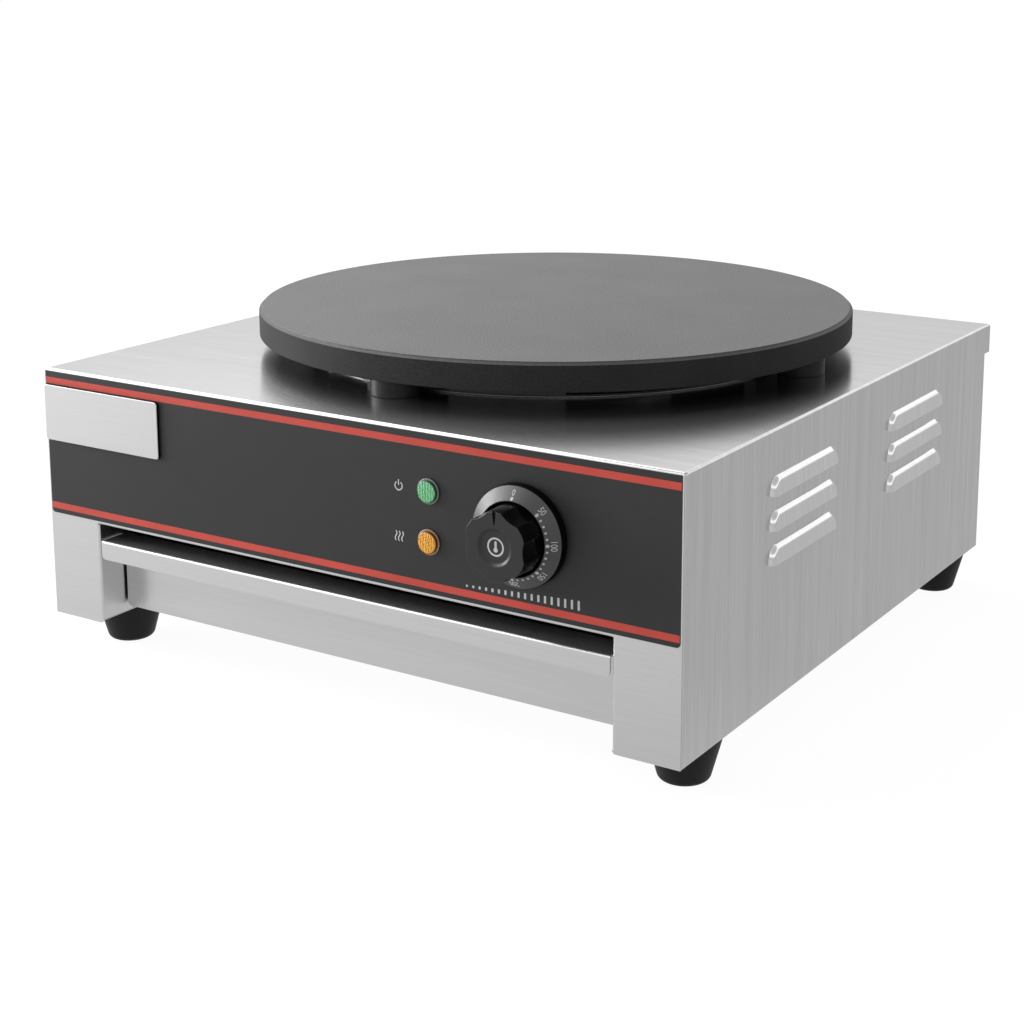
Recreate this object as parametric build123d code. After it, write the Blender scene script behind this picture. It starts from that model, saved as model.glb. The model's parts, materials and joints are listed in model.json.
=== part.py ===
from build123d import *
import os
from math import atan2, cos, degrees, radians, sin

# Electric crepe maker: a folded stainless box on four rubber feet, a cast-iron griddle plate on
# four cast legs above its deck, a control strip with two lamps and a thermostat knob, and a drawer.
# Millimetres. +Z up, +X to the right seen from the front, +Y to the back.
# Origin: on the floor, under the middle of the overall outline.

# ------------------------------------------------------------------ driving sizes
# Folded cover
BODY_WIDTH = 465.0  # outside, over the two sides
BODY_HEIGHT = 163.5  # lower edge of the sides to the deck
SIDE_DEPTH = 452.5  # front face to the rear edge of the sides
DECK_DEPTH = 462.0  # front face to the outside of the rear lip
REAR_LIP_HEIGHT = 20.0
COVER_SHEET = 1.2
FOLD_RADIUS = 2.0  # outside of the cover's folds
FRONT_FLANGE = 14.0  # inward flange behind the front panel
REAR_FLANGE = 14.0  # inward flange that carries the rear panel
BASE_FLANGE = 38.0  # inward flange that carries the feet

# Louvres pressed out of both sides
LOUVRE_LENGTH = 86.5
LOUVRE_HEIGHT = 9.2  # mouth to the hood's root
LOUVRE_LEAN = 1.2  # how far the hood's walls lean in from root to face
LOUVRE_PROUD = 3.4  # at the mouth
LOUVRE_SLOPE = 8.0  # degrees by which the hood's face looks up
LOUVRE_CORNER = 8.0  # upper corners at the root
LOUVRE_SHOULDER = 0.8
LOUVRE_PITCH = 20.3
LOUVRE_ROWS = 3
LOUVRE_LOWEST = 85.4  # lowest mouth above the lower edge of the sides
LOUVRE_FRONT_GROUP = 145.3  # middle of the front group, behind the front face
LOUVRE_REAR_GROUP = 318.0

# Front panel and drawer opening
PANEL_SHEET = 1.0
PANEL_MARGIN = 1.0  # strip of the cover's fold that shows beside the panel
STILE_WIDTH = 43.0  # of the front, beside the opening
NOTCH_HEIGHT = 66.3
NOTCH_CORNER = 2.5
NOTCH_RETURN = 26.0  # depth of the returns beside the opening
NOTCH_HEAD_RETURN = 12.0
NOTCH_RELIEF = 1.0  # radius of the bend relief at the opening's upper corners
NOTCH_FOLD = 1.5  # outside of the folds round the opening

# Overlay and badge plate
OVERLAY_SHEET = 0.3
OVERLAY_MARGIN = 1.9
OVERLAY_BOTTOM = 68.5
OVERLAY_TOP = 162.2
OVERLAY_CORNER = 2.5  # lower corners
BADGE_LENGTH = 97.0
BADGE_HEIGHT = 36.2
BADGE_BOTTOM = 117.4
BADGE_SHEET = 2.0
BADGE_CORNER = 2.0
BADGE_BEVEL = 0.4

# Pilot lamps
LAMP_INSET = 162.5  # lamp axes, in from the right side
POWER_LAMP_HEIGHT = 129.0
HEAT_LAMP_HEIGHT = 99.3
LAMP_RIM_RADIUS = 7.6
LAMP_RIM_PROUD = 1.1
LAMP_LENS_RADIUS = 6.0
LAMP_LENS_PROUD = 3.2
LAMP_LENS_EDGE = 1.0
LAMP_GROOVES = 6
LAMP_GROOVE = 0.7  # side of the square grooves, cut corner first
LAMP_NECK_RADIUS = 5.0
LAMP_BODY_LENGTH = 26.0
LAMP_NUT_THICKNESS = 3.0
LAMP_NUT_SIZE = 14.0  # across flats
LAMP_TAB_SPACING = 5.0
LAMP_TAB_WIDTH = 2.8
LAMP_TAB_LENGTH = 6.0
LAMP_TAB_SHEET = 0.5

# Dial ring and knob
KNOB_INSET = 100.5  # knob axis, in from the right side
KNOB_HEIGHT = 114.0
DIAL_RADIUS = 29.3
DIAL_WALL = 5.2  # height of the ring's outer wall
DIAL_PROUD = 11.0  # height of the ring's conical face at the knob
DIAL_EDGE = 0.5
DIAL_FLOOR = 1.2  # web of the ring behind the knob
KNOB_RADIUS = 19.8
KNOB_EDGE = 0.5
KNOB_FACE_PROUD = 27.0  # knob face in front of the overlay
KNOB_BASE_FLARE = 0.9
KNOB_LOBES = 6
KNOB_SCALLOP_RADIUS = 13.5
KNOB_SCALLOP_DEPTH = 2.4
KNOB_SCALLOP_TILT = 7.0
KNOB_CAP_RADIUS = 11.0
KNOB_CAP_DEPTH = 1.5
KNOB_SLOT_LENGTH = 7.8
KNOB_SLOT_WIDTH = 1.6
KNOB_SLOT_TIP = 0.6
KNOB_SLOT_DEPTH = 1.4
KNOB_WALL = 2.2
SHAFT_RADIUS = 3.0
SHAFT_FLAT = 1.5  # depth of the flat on the shaft
SHAFT_IN_KNOB = 12.0
SHAFT_IN_BODY = 14.0

# Thermostat
THERMOSTAT_WIDTH = 44.0
THERMOSTAT_HEIGHT = 36.0
THERMOSTAT_DEPTH = 30.0
THERMOSTAT_FACE_SHEET = 1.5
THERMOSTAT_FACE_HEIGHT = 18.0
THERMOSTAT_WAIST_RADIUS = 14.4
THERMOSTAT_WAIST_DEPTH = 10.0
THERMOSTAT_SCREW_SPACING = 28.0
CONTROL_SCREW_RADIUS = 2.0
CONTROL_SCREW_HEAD_RADIUS = 3.6
CONTROL_SCREW_HEAD = 2.0
CONTROL_SCREW_LENGTH = 8.0
TERMINAL_TAB_WIDTH = 6.3
TERMINAL_TAB_SHEET = 0.8
TERMINAL_TAB_LENGTH = 8.0
TERMINAL_TAB_ASIDE = 11.0  # tabs and capillary, beside the shaft
TERMINAL_TAB_RISE = 9.0  # tabs below the shaft, capillary above it
BULB_RADIUS = 3.0
BULB_LENGTH = 76.0
CAPILLARY_RADIUS = 1.0
CAPILLARY_DOWN_X = 50.0  # where the capillary goes down, to the right of the plate's middle
CAPILLARY_DROP = 8.0  # its run below the heat pan's floor
CLIP_SHEET = 1.2
CLIP_WIDTH = 14.0
CLIP_WING = 12.0

# Griddle plate
PLATE_RADIUS = 200.0
PLATE_THICKNESS = 16.5  # over the rim
PLATE_WEB = 11.0  # over the middle
PLATE_BACK = 246.5  # middle of the plate behind the front face
PLATE_RIM_WALL = 10.0
PLATE_STEP = 0.7  # small step round the cooking face
PLATE_BEVEL = 2.0
PLATE_LOWER_EDGE = 1.0
LEG_COUNT = 4
LEG_HEIGHT = 12.5
LEG_RADIUS = 15.0
LEG_CIRCLE = 183.0
LEG_BOLT_RADIUS = 3.0
LEG_BOLT_HEAD = 4.0
LEG_BOLT_DEPTH = 12.0

# Guard ring between deck and plate
GUARD_RADIUS = 166.5
GUARD_SHEET = 0.8
GUARD_FLANGE = 8.0
GUARD_SILL = 1.6
GUARD_TOP_GAP = 0.5
GUARD_SLOT_ANGLE = 18.0  # opening behind each leg
GUARD_WEB_ANGLE = 25.0
GUARD_WINDOW_ANGLE = 43.0

# Heat pan, insulation and reflector
DECK_HOLE_RADIUS = 158.0
PAN_RADIUS = 155.0
PAN_DEPTH = 34.0
PAN_SHEET = 0.8
PAN_FLANGE_RADIUS = 173.0
PAN_SCREWS = 6
PAN_SCREW_RADIUS = 2.0
PAN_SCREW_HEAD_RADIUS = 3.5
PAN_SCREW_HEAD = 2.2
PAN_SCREW_LENGTH = 8.0
PAN_NUT_SIZE = 7.0
PAN_NUT_THICKNESS = 3.2
INSULATION_THICKNESS = 16.0
REFLECTOR_SHEET = 0.6
REFLECTOR_RIM = 5.0

# Heating element: three loops in one plane under the plate
ELEMENT_RADIUS = 4.0
ELEMENT_OUTER_LOOP = 130.0
ELEMENT_MIDDLE_LOOP = 95.0
ELEMENT_INNER_LOOP = 60.0
ELEMENT_START_ANGLE = -70.0
ELEMENT_INNER_ANGLE = -65.0
ELEMENT_END_ANGLE = 250.0
ELEMENT_BEND = 12.0
ELEMENT_TAIL = 12.0  # below the heat pan
ELEMENT_PIN_RADIUS = 2.0
ELEMENT_PIN_LENGTH = 9.0
CLAMP_ANGLES = (90.0, 210.0, 330.0)
CLAMP_WIDTH = 18.0
CLAMP_THICKNESS = 3.0
CLAMP_REACH = 10.0  # past the outer and inner loops
STUD_RADIUS = 3.0
STUD_TAIL = 2.0
STUD_NUT_SIZE = 10.0
STUD_NUT_THICKNESS = 5.0

# Drawer bay and runners
BAY_SHEET = 1.0
BAY_REAR = 415.0  # rear wall behind the front face
BAY_FLANGE = 10.0
BAY_STOP_DROP = 12.0
BAY_STOP_WIDTH = 20.0
BAY_STOP_X = 120.0
RUNNER_SHEET = 1.2
RUNNER_HEIGHT = 16.0
RUNNER_WIDTH = 14.0
RUNNER_TOP = 7.0

# Drawer
DRAWER_SIDE_GAP = 1.5  # beside the drawer in its opening
DRAWER_RECESS = 21.0
DRAWER_BOTTOM = 6.3
DRAWER_TOP = 55.5
DRAWER_SHEET = 1.0
DRAWER_CORNER = 2.5
PULL_DROP = 12.0
PULL_BEND = 1.6
PULL_CORNER = 3.0
TRAY_INSET = 1.0  # tray behind the drawer front's ends
TRAY_DEPTH = 380.0
TRAY_SHEET = 0.8
TRAY_WALL_TOP = 50.0
TRAY_STOP_TOP = 59.0
TRAY_HEM = 1.6
DRAWER_TRAVEL = 298.0  # from shut to the stop tabs

# Rear panel
REAR_PANEL_MARGIN = 3.0
REAR_PANEL_FOOT = 2.0
REAR_VENT_COLUMNS = 7
REAR_VENT_ROWS = 3
REAR_VENT_LENGTH = 32.0
REAR_VENT_HEIGHT = 4.0
REAR_VENT_PITCH_X = 39.0
REAR_VENT_PITCH_Z = 11.0
REAR_VENT_MIDDLE_X = -30.0
REAR_VENT_MIDDLE_HEIGHT = 112.0
REAR_SCREW_RADIUS = 2.0
REAR_SCREW_HEAD_RADIUS = 3.8
REAR_SCREW_HEAD = 2.2
REAR_SCREW_CROSS = 0.9  # width of the recess's two slots
REAR_SCREW_CROSS_DEPTH = 1.1
REAR_SCREW_LENGTH = 9.0
REAR_SCREW_HEIGHTS = (12.0, 78.0, 138.0)

# Cable gland, terminal block, earth stud and leads
GLAND_INSET = 67.5  # in from the right side
GLAND_HEIGHT = 112.0
GLAND_BORE_RADIUS = 5.0
GLAND_THREAD_RADIUS = 10.0
GLAND_FLANGE_SIZE = 24.0
GLAND_FLANGE = 5.0
GLAND_PROUD = 20.0
GLAND_SHOULDER = 6.5  # round part past the flange, before the taper
GLAND_NOSE_RADIUS = 8.0
GLAND_INSIDE = 9.0
GLAND_NUT_SIZE = 26.0
GLAND_NUT_THICKNESS = 5.0
BLOCK_INSET = 82.5  # in from the right side
BLOCK_BACK = 380.0
BLOCK_LENGTH = 44.0
BLOCK_DEPTH = 22.0
BLOCK_HEIGHT = 18.0
BLOCK_POLES = 3
BLOCK_WELL_RADIUS = 2.8
BLOCK_WELL_DEPTH = 6.0
BLOCK_WELL_SPACING = 11.0
EARTH_X = 60.0
EARTH_BACK = 395.0
EARTH_RADIUS = 2.5
EARTH_HEIGHT = 16.0
EARTH_NUT_SIZE = 8.0
EARTH_NUT_THICKNESS = 4.0
LEAD_RADIUS = 1.5
LEAD_BEND = 9.0
LEAD_RUN = 40.0  # straight run of a lead before it turns away from its terminal
LAMP_LEAD_RADIUS = 1.0
LAMP_LEAD_REACH = 20.0

# Feet
FOOT_HEIGHT = 26.0
FOOT_TOP_RADIUS = 21.7
FOOT_BOTTOM_RADIUS = 14.6
FOOT_EDGE = 4.5
FOOT_RECESS_RADIUS = 8.0
FOOT_RECESS_DEPTH = 14.0
FOOT_INSET = 22.5  # in from the side
FOOT_FRONT = 45.0
FOOT_REAR = 28.5  # in from the rear edge of the sides
FOOT_SCREW_RADIUS = 3.0
FOOT_SCREW_HEAD_RADIUS = 6.0
FOOT_SCREW_HEAD = 4.0
FOOT_NUT_SIZE = 10.0
FOOT_NUT_THICKNESS = 5.0

# Clearances
SCREW_CLEARANCE = 0.15  # radial, screw in hole
RUNNING_CLEARANCE = 0.05  # radial, shaft in the thermostat
SEAT_CLEARANCE = 0.02  # radial, knob on shaft
KNOB_CLEARANCE = 0.5  # radial, knob in the dial ring
KNOB_BACK_GAP = 0.6
SLIDE_CLEARANCE = 0.3  # tray above its runners
ASSEMBLY_GAP = 0.5
WIRE_WAY = 3.0  # radial room round a tube through the heat pan

# ------------------------------------------------------------------ places worked out from the sizes
REAR_OVERALL = max(DECK_DEPTH, SIDE_DEPTH + PANEL_SHEET + GLAND_PROUD)
FRONT_OVERALL = OVERLAY_SHEET + KNOB_FACE_PROUD
FRONT_Y = (FRONT_OVERALL - REAR_OVERALL) / 2  # outside of the front panel
BASE_Z = FOOT_HEIGHT  # lower edge of the cover
DECK_Z = BASE_Z + BODY_HEIGHT  # top of the deck

COVER_FRONT_Y = FRONT_Y + PANEL_SHEET
SIDE_REAR_Y = FRONT_Y + SIDE_DEPTH
LIP_REAR_Y = FRONT_Y + DECK_DEPTH
HALF_WIDTH = BODY_WIDTH / 2
INNER_HALF = HALF_WIDTH - COVER_SHEET
DECK_UNDER_Z = DECK_Z - COVER_SHEET

OVERLAY_Y = FRONT_Y - OVERLAY_SHEET  # outside of the overlay
NOTCH_HALF = HALF_WIDTH - STILE_WIDTH
NOTCH_TOP_Z = BASE_Z + NOTCH_HEIGHT
DRAWER_HALF = NOTCH_HALF - DRAWER_SIDE_GAP
TRAY_HALF = DRAWER_HALF - TRAY_INSET
LOUVRE_TAPER = degrees(atan2(LOUVRE_LEAN, LOUVRE_PROUD))
LAMP_X = HALF_WIDTH - LAMP_INSET
KNOB_X = HALF_WIDTH - KNOB_INSET
KNOB_Z = BASE_Z + KNOB_HEIGHT
KNOB_FACE_Y = OVERLAY_Y - KNOB_FACE_PROUD
KNOB_BACK_Y = OVERLAY_Y - DIAL_FLOOR - CONTROL_SCREW_HEAD - KNOB_BACK_GAP

PLATE_Y = FRONT_Y + PLATE_BACK
PLATE_UNDER_Z = DECK_Z + LEG_HEIGHT
PLATE_TOP_Z = PLATE_UNDER_Z + PLATE_THICKNESS
PLATE_WEB_Z = PLATE_TOP_Z - PLATE_WEB

PAN_SCREW_CIRCLE = GUARD_RADIUS - GUARD_SHEET - PAN_SCREW_HEAD_RADIUS - ASSEMBLY_GAP
PAN_FLOOR_Z = DECK_UNDER_Z - PAN_DEPTH  # outside of the heat pan's floor
INSULATION_Z = PAN_FLOOR_Z + PAN_SHEET
REFLECTOR_Z = INSULATION_Z + INSULATION_THICKNESS
ELEMENT_Z = PLATE_WEB_Z - ELEMENT_RADIUS
ELEMENT_END_Z = PAN_FLOOR_Z - ELEMENT_TAIL
PIN_END_Z = ELEMENT_END_Z - ELEMENT_PIN_LENGTH
CLAMP_Z = ELEMENT_Z - ELEMENT_RADIUS - CLAMP_THICKNESS
BULB_Z = PLATE_WEB_Z - BULB_RADIUS

BAY_INNER_HALF = NOTCH_HALF + PANEL_SHEET
BAY_CEILING_Z = NOTCH_TOP_Z + PANEL_SHEET
BAY_TOP_Z = BAY_CEILING_Z + BAY_SHEET
BAY_REAR_Y = FRONT_Y + BAY_REAR
RUNNER_Z = BASE_Z + RUNNER_TOP
TRAY_Z = RUNNER_Z + SLIDE_CLEARANCE
DRAWER_FACE_Y = FRONT_Y + DRAWER_RECESS
TRAY_FRONT_Y = DRAWER_FACE_Y + DRAWER_SHEET

LAMP_HEIGHTS = (POWER_LAMP_HEIGHT, HEAT_LAMP_HEIGHT)
THERMOSTAT_FRONT_Y = FRONT_Y + PANEL_SHEET
THERMOSTAT_REAR_Y = THERMOSTAT_FRONT_Y + THERMOSTAT_DEPTH
GLAND_X = HALF_WIDTH - GLAND_INSET
GLAND_Z = BASE_Z + GLAND_HEIGHT
REAR_FACE_Y = SIDE_REAR_Y + PANEL_SHEET
BLOCK_X = HALF_WIDTH - BLOCK_INSET
BLOCK_FRONT_Y = FRONT_Y + BLOCK_BACK - BLOCK_DEPTH / 2
LEAD_Z = BAY_TOP_Z + BLOCK_HEIGHT / 2
FOOT_X = HALF_WIDTH - FOOT_INSET
FOOT_PLACES = {
    "front_left": (-FOOT_X, FRONT_Y + FOOT_FRONT),
    "front_right": (FOOT_X, FRONT_Y + FOOT_FRONT),
    "rear_left": (-FOOT_X, SIDE_REAR_Y - FOOT_REAR),
    "rear_right": (FOOT_X, SIDE_REAR_Y - FOOT_REAR),
}
LEG_ANGLES = [360 / LEG_COUNT * i - 90 for i in range(LEG_COUNT)]
CUT = 5.0  # how far a cutter runs past the face it opens

nodes = {}


# ------------------------------------------------------------------ small helpers
def block(x0, x1, y0, y1, z0, z1):
    """Box between two opposite corners."""
    middle = Pos((x0 + x1) / 2, (y0 + y1) / 2, (z0 + z1) / 2)
    return middle * Box(x1 - x0, y1 - y0, z1 - z0)


def mirrored(x0, x1, y0, y1, z0, z1):
    """The box between two corners, and its mirror image across the middle plane."""
    return block(x0, x1, y0, y1, z0, z1) + block(-x1, -x0, y0, y1, z0, z1)


def post(radius, x, y, z0, z1):
    """Upright cylinder."""
    return Pos(x, y, (z0 + z1) / 2) * Cylinder(radius, z1 - z0)


def spindle(radius, x, z, y0, y1):
    """Cylinder along Y."""
    return Pos(x, (y0 + y1) / 2, z) * Rot(90, 0, 0) * Cylinder(radius, y1 - y0)


def hex_post(flats, x, y, z0, z1):
    """Upright hexagonal prism, sized across its flats."""
    return Pos(x, y, z0) * extrude(RegularPolygon(flats / 2, 6, major_radius=False), z1 - z0)


def hex_spindle(flats, x, z, y0, y1):
    """Hexagonal prism along Y, sized across its flats."""
    prism = extrude(RegularPolygon(flats / 2, 6, major_radius=False), y1 - y0)
    return Pos(x, y0, z) * Rot(-90, 0, 0) * prism


def turned(points, x=0.0, y=0.0):
    """Solid of revolution about an upright axis, from (radius, z) points."""
    outline = make_face(Polyline(*[(r, 0, z) for r, z in points], close=True))
    return Pos(x, y, 0) * revolve(outline, Axis.Z)


def turned_forward(points, x, z):
    """Solid of revolution about an axis along Y, from (radius, y) points."""
    outline = make_face(Polyline(*[(r, y, 0) for r, y in points], close=True))
    return Pos(x, 0, z) * revolve(outline, Axis.Y)


def ring_place(radius, angle, middle_y=PLATE_Y):
    """Point on a circle round the plate's middle."""
    return radius * cos(radians(angle)), middle_y + radius * sin(radians(angle))


def tube(path, radius):
    """Round bar along a path of straight runs and arcs that meet in line."""
    pieces = []
    for run in path.edges():
        start = run @ 0
        ahead = (run @ 0.01) - start
        if run.geom_type == GeomType.LINE:
            section = Plane(origin=start, z_dir=ahead) * Circle(radius)
            pieces.append(extrude(section, run.length))
        else:
            arm = start - run.arc_center
            turn = arm.cross(ahead)
            section = Plane(origin=start, z_dir=turn.cross(arm)) * Circle(radius)
            pieces.append(revolve(section, Axis(run.arc_center, turn), degrees(run.length / run.radius)))
    return pieces[0] + pieces[1:]


def lead(points, radius=LEAD_RADIUS, bend=LEAD_BEND):
    """Wire through points, with an equal bend at each corner."""
    return tube(FilletPolyline(*points, radius=bend), radius)


# ------------------------------------------------------------------ casing
def louvre_outline(middle_y, low_z, mouth_z, inset):
    """Louvre's outline on the plane x = 0, from a low edge up to two round corners."""
    height = mouth_z + LOUVRE_HEIGHT - inset - low_z
    sketch = Pos(0, height / 2) * Rectangle(LOUVRE_LENGTH - 2 * inset, height)
    sketch = fillet(sketch.vertices().group_by(Axis.Y)[-1], LOUVRE_CORNER - inset)
    return Plane(origin=(0, middle_y, low_z), x_dir=(0, 1, 0), z_dir=(1, 0, 0)) * sketch


def louvre_face(middle_y, mouth_z):
    """Plane of the hood's sloping face, which stands furthest out at the mouth."""
    outward = (cos(radians(LOUVRE_SLOPE)), 0, sin(radians(LOUVRE_SLOPE)))
    return Plane(origin=(LOUVRE_PROUD, middle_y, mouth_z), z_dir=outward)


def louvre_hood(middle_y, mouth_z):
    """Solid of a louvre with leaning walls and a sloping face, cut off flat at its mouth."""
    outline = louvre_outline(middle_y, mouth_z - LOUVRE_HEIGHT, mouth_z, 0)
    hood = extrude(outline, LOUVRE_PROUD, taper=LOUVRE_TAPER)
    slope = louvre_face(middle_y, mouth_z)
    hood = split(hood, slope, keep=Keep.BOTTOM)
    hood -= block(
        -CUT,
        LOUVRE_PROUD + CUT,
        middle_y - LOUVRE_LENGTH,
        middle_y + LOUVRE_LENGTH,
        mouth_z - 2 * LOUVRE_HEIGHT,
        mouth_z,
    )
    face = hood.faces().sort_by(Axis(slope.origin, slope.z_dir))[-1]
    return fillet([e for e in face.edges() if e.center().Z > mouth_z + LOUVRE_SHOULDER], LOUVRE_SHOULDER)


def louvre_hollow(middle_y, mouth_z):
    """Room inside a louvre, open below, and its way through the side."""
    inset = COVER_SHEET / cos(radians(LOUVRE_TAPER))
    room = louvre_outline(middle_y, mouth_z - CUT, mouth_z, inset)
    way = louvre_outline(middle_y, mouth_z, mouth_z, inset)
    room = extrude(room, LOUVRE_PROUD, taper=LOUVRE_TAPER)
    room = split(room, louvre_face(middle_y, mouth_z).offset(-COVER_SHEET), keep=Keep.BOTTOM)
    return [room, extrude(way, -2 * COVER_SHEET)]


def add_louvres(shell):
    """Press the louvres out of both sides, open at their lower edge."""
    raised, hollow = [], []
    for back in (LOUVRE_FRONT_GROUP, LOUVRE_REAR_GROUP):
        for row in range(LOUVRE_ROWS):
            mouth_z = BASE_Z + LOUVRE_LOWEST + row * LOUVRE_PITCH
            raised.append(Pos(HALF_WIDTH, 0, 0) * louvre_hood(FRONT_Y + back, mouth_z))
            hollow += [Pos(HALF_WIDTH, 0, 0) * piece for piece in louvre_hollow(FRONT_Y + back, mouth_z)]
    for pieces in (raised, hollow):
        pieces += [mirror(piece, Plane.YZ) for piece in pieces]
    return shell + raised - hollow


def make_cover():
    """Deck, sides, rear lip and flanges, folded from one sheet."""
    outline = Polyline(
        (0, COVER_FRONT_Y, BASE_Z),
        (0, SIDE_REAR_Y, BASE_Z),
        (0, SIDE_REAR_Y, DECK_Z - REAR_LIP_HEIGHT),
        (0, LIP_REAR_Y, DECK_Z - REAR_LIP_HEIGHT),
        (0, LIP_REAR_Y, DECK_Z),
        (0, COVER_FRONT_Y, DECK_Z),
        close=True,
    )
    outer = extrude(make_face(outline), HALF_WIDTH, dir=(1, 0, 0), both=True)
    lip_foot = DECK_Z - REAR_LIP_HEIGHT
    step = [
        e
        for e in outer.edges().filter_by(Axis.X)
        if abs(e.center().Z - lip_foot) < FOLD_RADIUS or e.center().Z < BASE_Z + FOLD_RADIUS
    ]
    ears = [e for e in outer.edges().filter_by(Axis.Y) if abs(e.center().Z - lip_foot) < FOLD_RADIUS]
    folds = [e for e in outer.edges() if e not in step and e not in ears]
    shell = fillet(folds, FOLD_RADIUS)

    inner_front = COVER_FRONT_Y + COVER_SHEET
    shell -= block(
        -INNER_HALF, INNER_HALF, inner_front, SIDE_REAR_Y - COVER_SHEET, BASE_Z + COVER_SHEET, DECK_UNDER_Z
    )
    shell -= block(
        -INNER_HALF, INNER_HALF, inner_front, LIP_REAR_Y - COVER_SHEET, lip_foot - CUT, DECK_UNDER_Z
    )
    front_half = HALF_WIDTH - FRONT_FLANGE
    shell -= block(
        -front_half, front_half, COVER_FRONT_Y - CUT, inner_front, BASE_Z - CUT, DECK_Z - FRONT_FLANGE
    )
    rear_half = HALF_WIDTH - REAR_FLANGE
    rear_inner = SIDE_REAR_Y - COVER_SHEET
    shell -= block(-rear_half, rear_half, rear_inner - CUT, SIDE_REAR_Y + CUT, BASE_Z - CUT, lip_foot)
    base_half = HALF_WIDTH - BASE_FLANGE
    shell -= block(
        -base_half, base_half, COVER_FRONT_Y - CUT, SIDE_REAR_Y + CUT, BASE_Z - CUT, BASE_Z + COVER_SHEET
    )

    shell -= post(DECK_HOLE_RADIUS, 0, PLATE_Y, DECK_UNDER_Z - CUT, DECK_Z + CUT)
    for angle in LEG_ANGLES:
        x, y = ring_place(LEG_CIRCLE, angle)
        shell -= post(LEG_BOLT_RADIUS + SCREW_CLEARANCE, x, y, DECK_UNDER_Z - CUT, DECK_Z + CUT)
    for x, y in pan_screw_places():
        shell -= post(PAN_SCREW_RADIUS + SCREW_CLEARANCE, x, y, DECK_UNDER_Z - CUT, DECK_Z + CUT)
    for x, y in FOOT_PLACES.values():
        shell -= post(FOOT_SCREW_RADIUS + SCREW_CLEARANCE, x, y, BASE_Z - CUT, BASE_Z + CUT)
    for x, z in rear_screw_places():
        shell -= spindle(REAR_SCREW_RADIUS + SCREW_CLEARANCE, x, z, SIDE_REAR_Y - CUT, SIDE_REAR_Y + CUT)
    return add_louvres(shell)


def make_front_panel():
    """Front sheet with the drawer opening, its returns and the holes for the controls."""
    half = HALF_WIDTH - PANEL_MARGIN
    sheet = block(-half, half, FRONT_Y, COVER_FRONT_Y, BASE_Z, DECK_Z - PANEL_MARGIN)
    sheet -= block(-NOTCH_HALF, NOTCH_HALF, FRONT_Y - CUT, FRONT_Y + CUT, BASE_Z - CUT, NOTCH_TOP_Z)
    corners = [
        e
        for e in sheet.edges().filter_by(Axis.Y)
        if e.center().Z < BASE_Z + CUT and abs(abs(e.center().X) - NOTCH_HALF) < CUT
    ]
    sheet = fillet(corners, NOTCH_CORNER)
    wall_z = BASE_Z + NOTCH_CORNER
    sheet += mirrored(NOTCH_HALF, BAY_INNER_HALF, FRONT_Y, FRONT_Y + NOTCH_RETURN, wall_z, BAY_CEILING_Z)
    sheet += block(
        -BAY_INNER_HALF, BAY_INNER_HALF, FRONT_Y, FRONT_Y + NOTCH_HEAD_RETURN, NOTCH_TOP_Z, BAY_CEILING_Z
    )
    for x in (-NOTCH_HALF, NOTCH_HALF):
        sheet -= spindle(NOTCH_RELIEF, x, NOTCH_TOP_Z, FRONT_Y - CUT, COVER_FRONT_Y)
    return sheet - notch_folds() - front_holes()


def notch_folds():
    """Cutters that round the outside of the folds at both sides and over the opening."""
    radius = NOTCH_FOLD
    low, high = BASE_Z + NOTCH_CORNER, NOTCH_TOP_Z
    side = block(NOTCH_HALF, NOTCH_HALF + radius, FRONT_Y, FRONT_Y + radius, low, high)
    side -= post(radius, NOTCH_HALF + radius, FRONT_Y + radius, low, high)
    head = block(-NOTCH_HALF, NOTCH_HALF, FRONT_Y, FRONT_Y + radius, high, high + radius)
    bend = Rot(0, 90, 0) * Cylinder(radius, 2 * NOTCH_HALF)
    return [side, mirror(side, Plane.YZ), head - Pos(0, FRONT_Y + radius, high + radius) * bend]


def front_holes():
    """Cutters for the lamps, the shaft and the thermostat screws."""
    span = (OVERLAY_Y - CUT, COVER_FRONT_Y + CUT)
    lamp_hole = LAMP_NECK_RADIUS + SCREW_CLEARANCE
    cutters = [spindle(lamp_hole, LAMP_X, BASE_Z + height, *span) for height in LAMP_HEIGHTS]
    cutters.append(spindle(SHAFT_RADIUS + ASSEMBLY_GAP, KNOB_X, KNOB_Z, *span))
    for x in control_screw_places():
        cutters.append(spindle(CONTROL_SCREW_RADIUS + SCREW_CLEARANCE, x, KNOB_Z, *span))
    return cutters


def control_screw_places():
    """X of the two screws that hold the dial ring, the panel and the thermostat together."""
    return KNOB_X - THERMOSTAT_SCREW_SPACING / 2, KNOB_X + THERMOSTAT_SCREW_SPACING / 2


def rear_screw_places():
    """X and Z of the screws along both rear flanges."""
    x = HALF_WIDTH - REAR_FLANGE / 2
    return [(side * x, BASE_Z + height) for side in (-1, 1) for height in REAR_SCREW_HEIGHTS]


def pan_screw_places():
    """X and Y of the screws that clamp the guard ring, the deck and the heat pan."""
    pitch = 360 / PAN_SCREWS
    return [ring_place(PAN_SCREW_CIRCLE, pitch * i) for i in range(PAN_SCREWS)]


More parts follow.
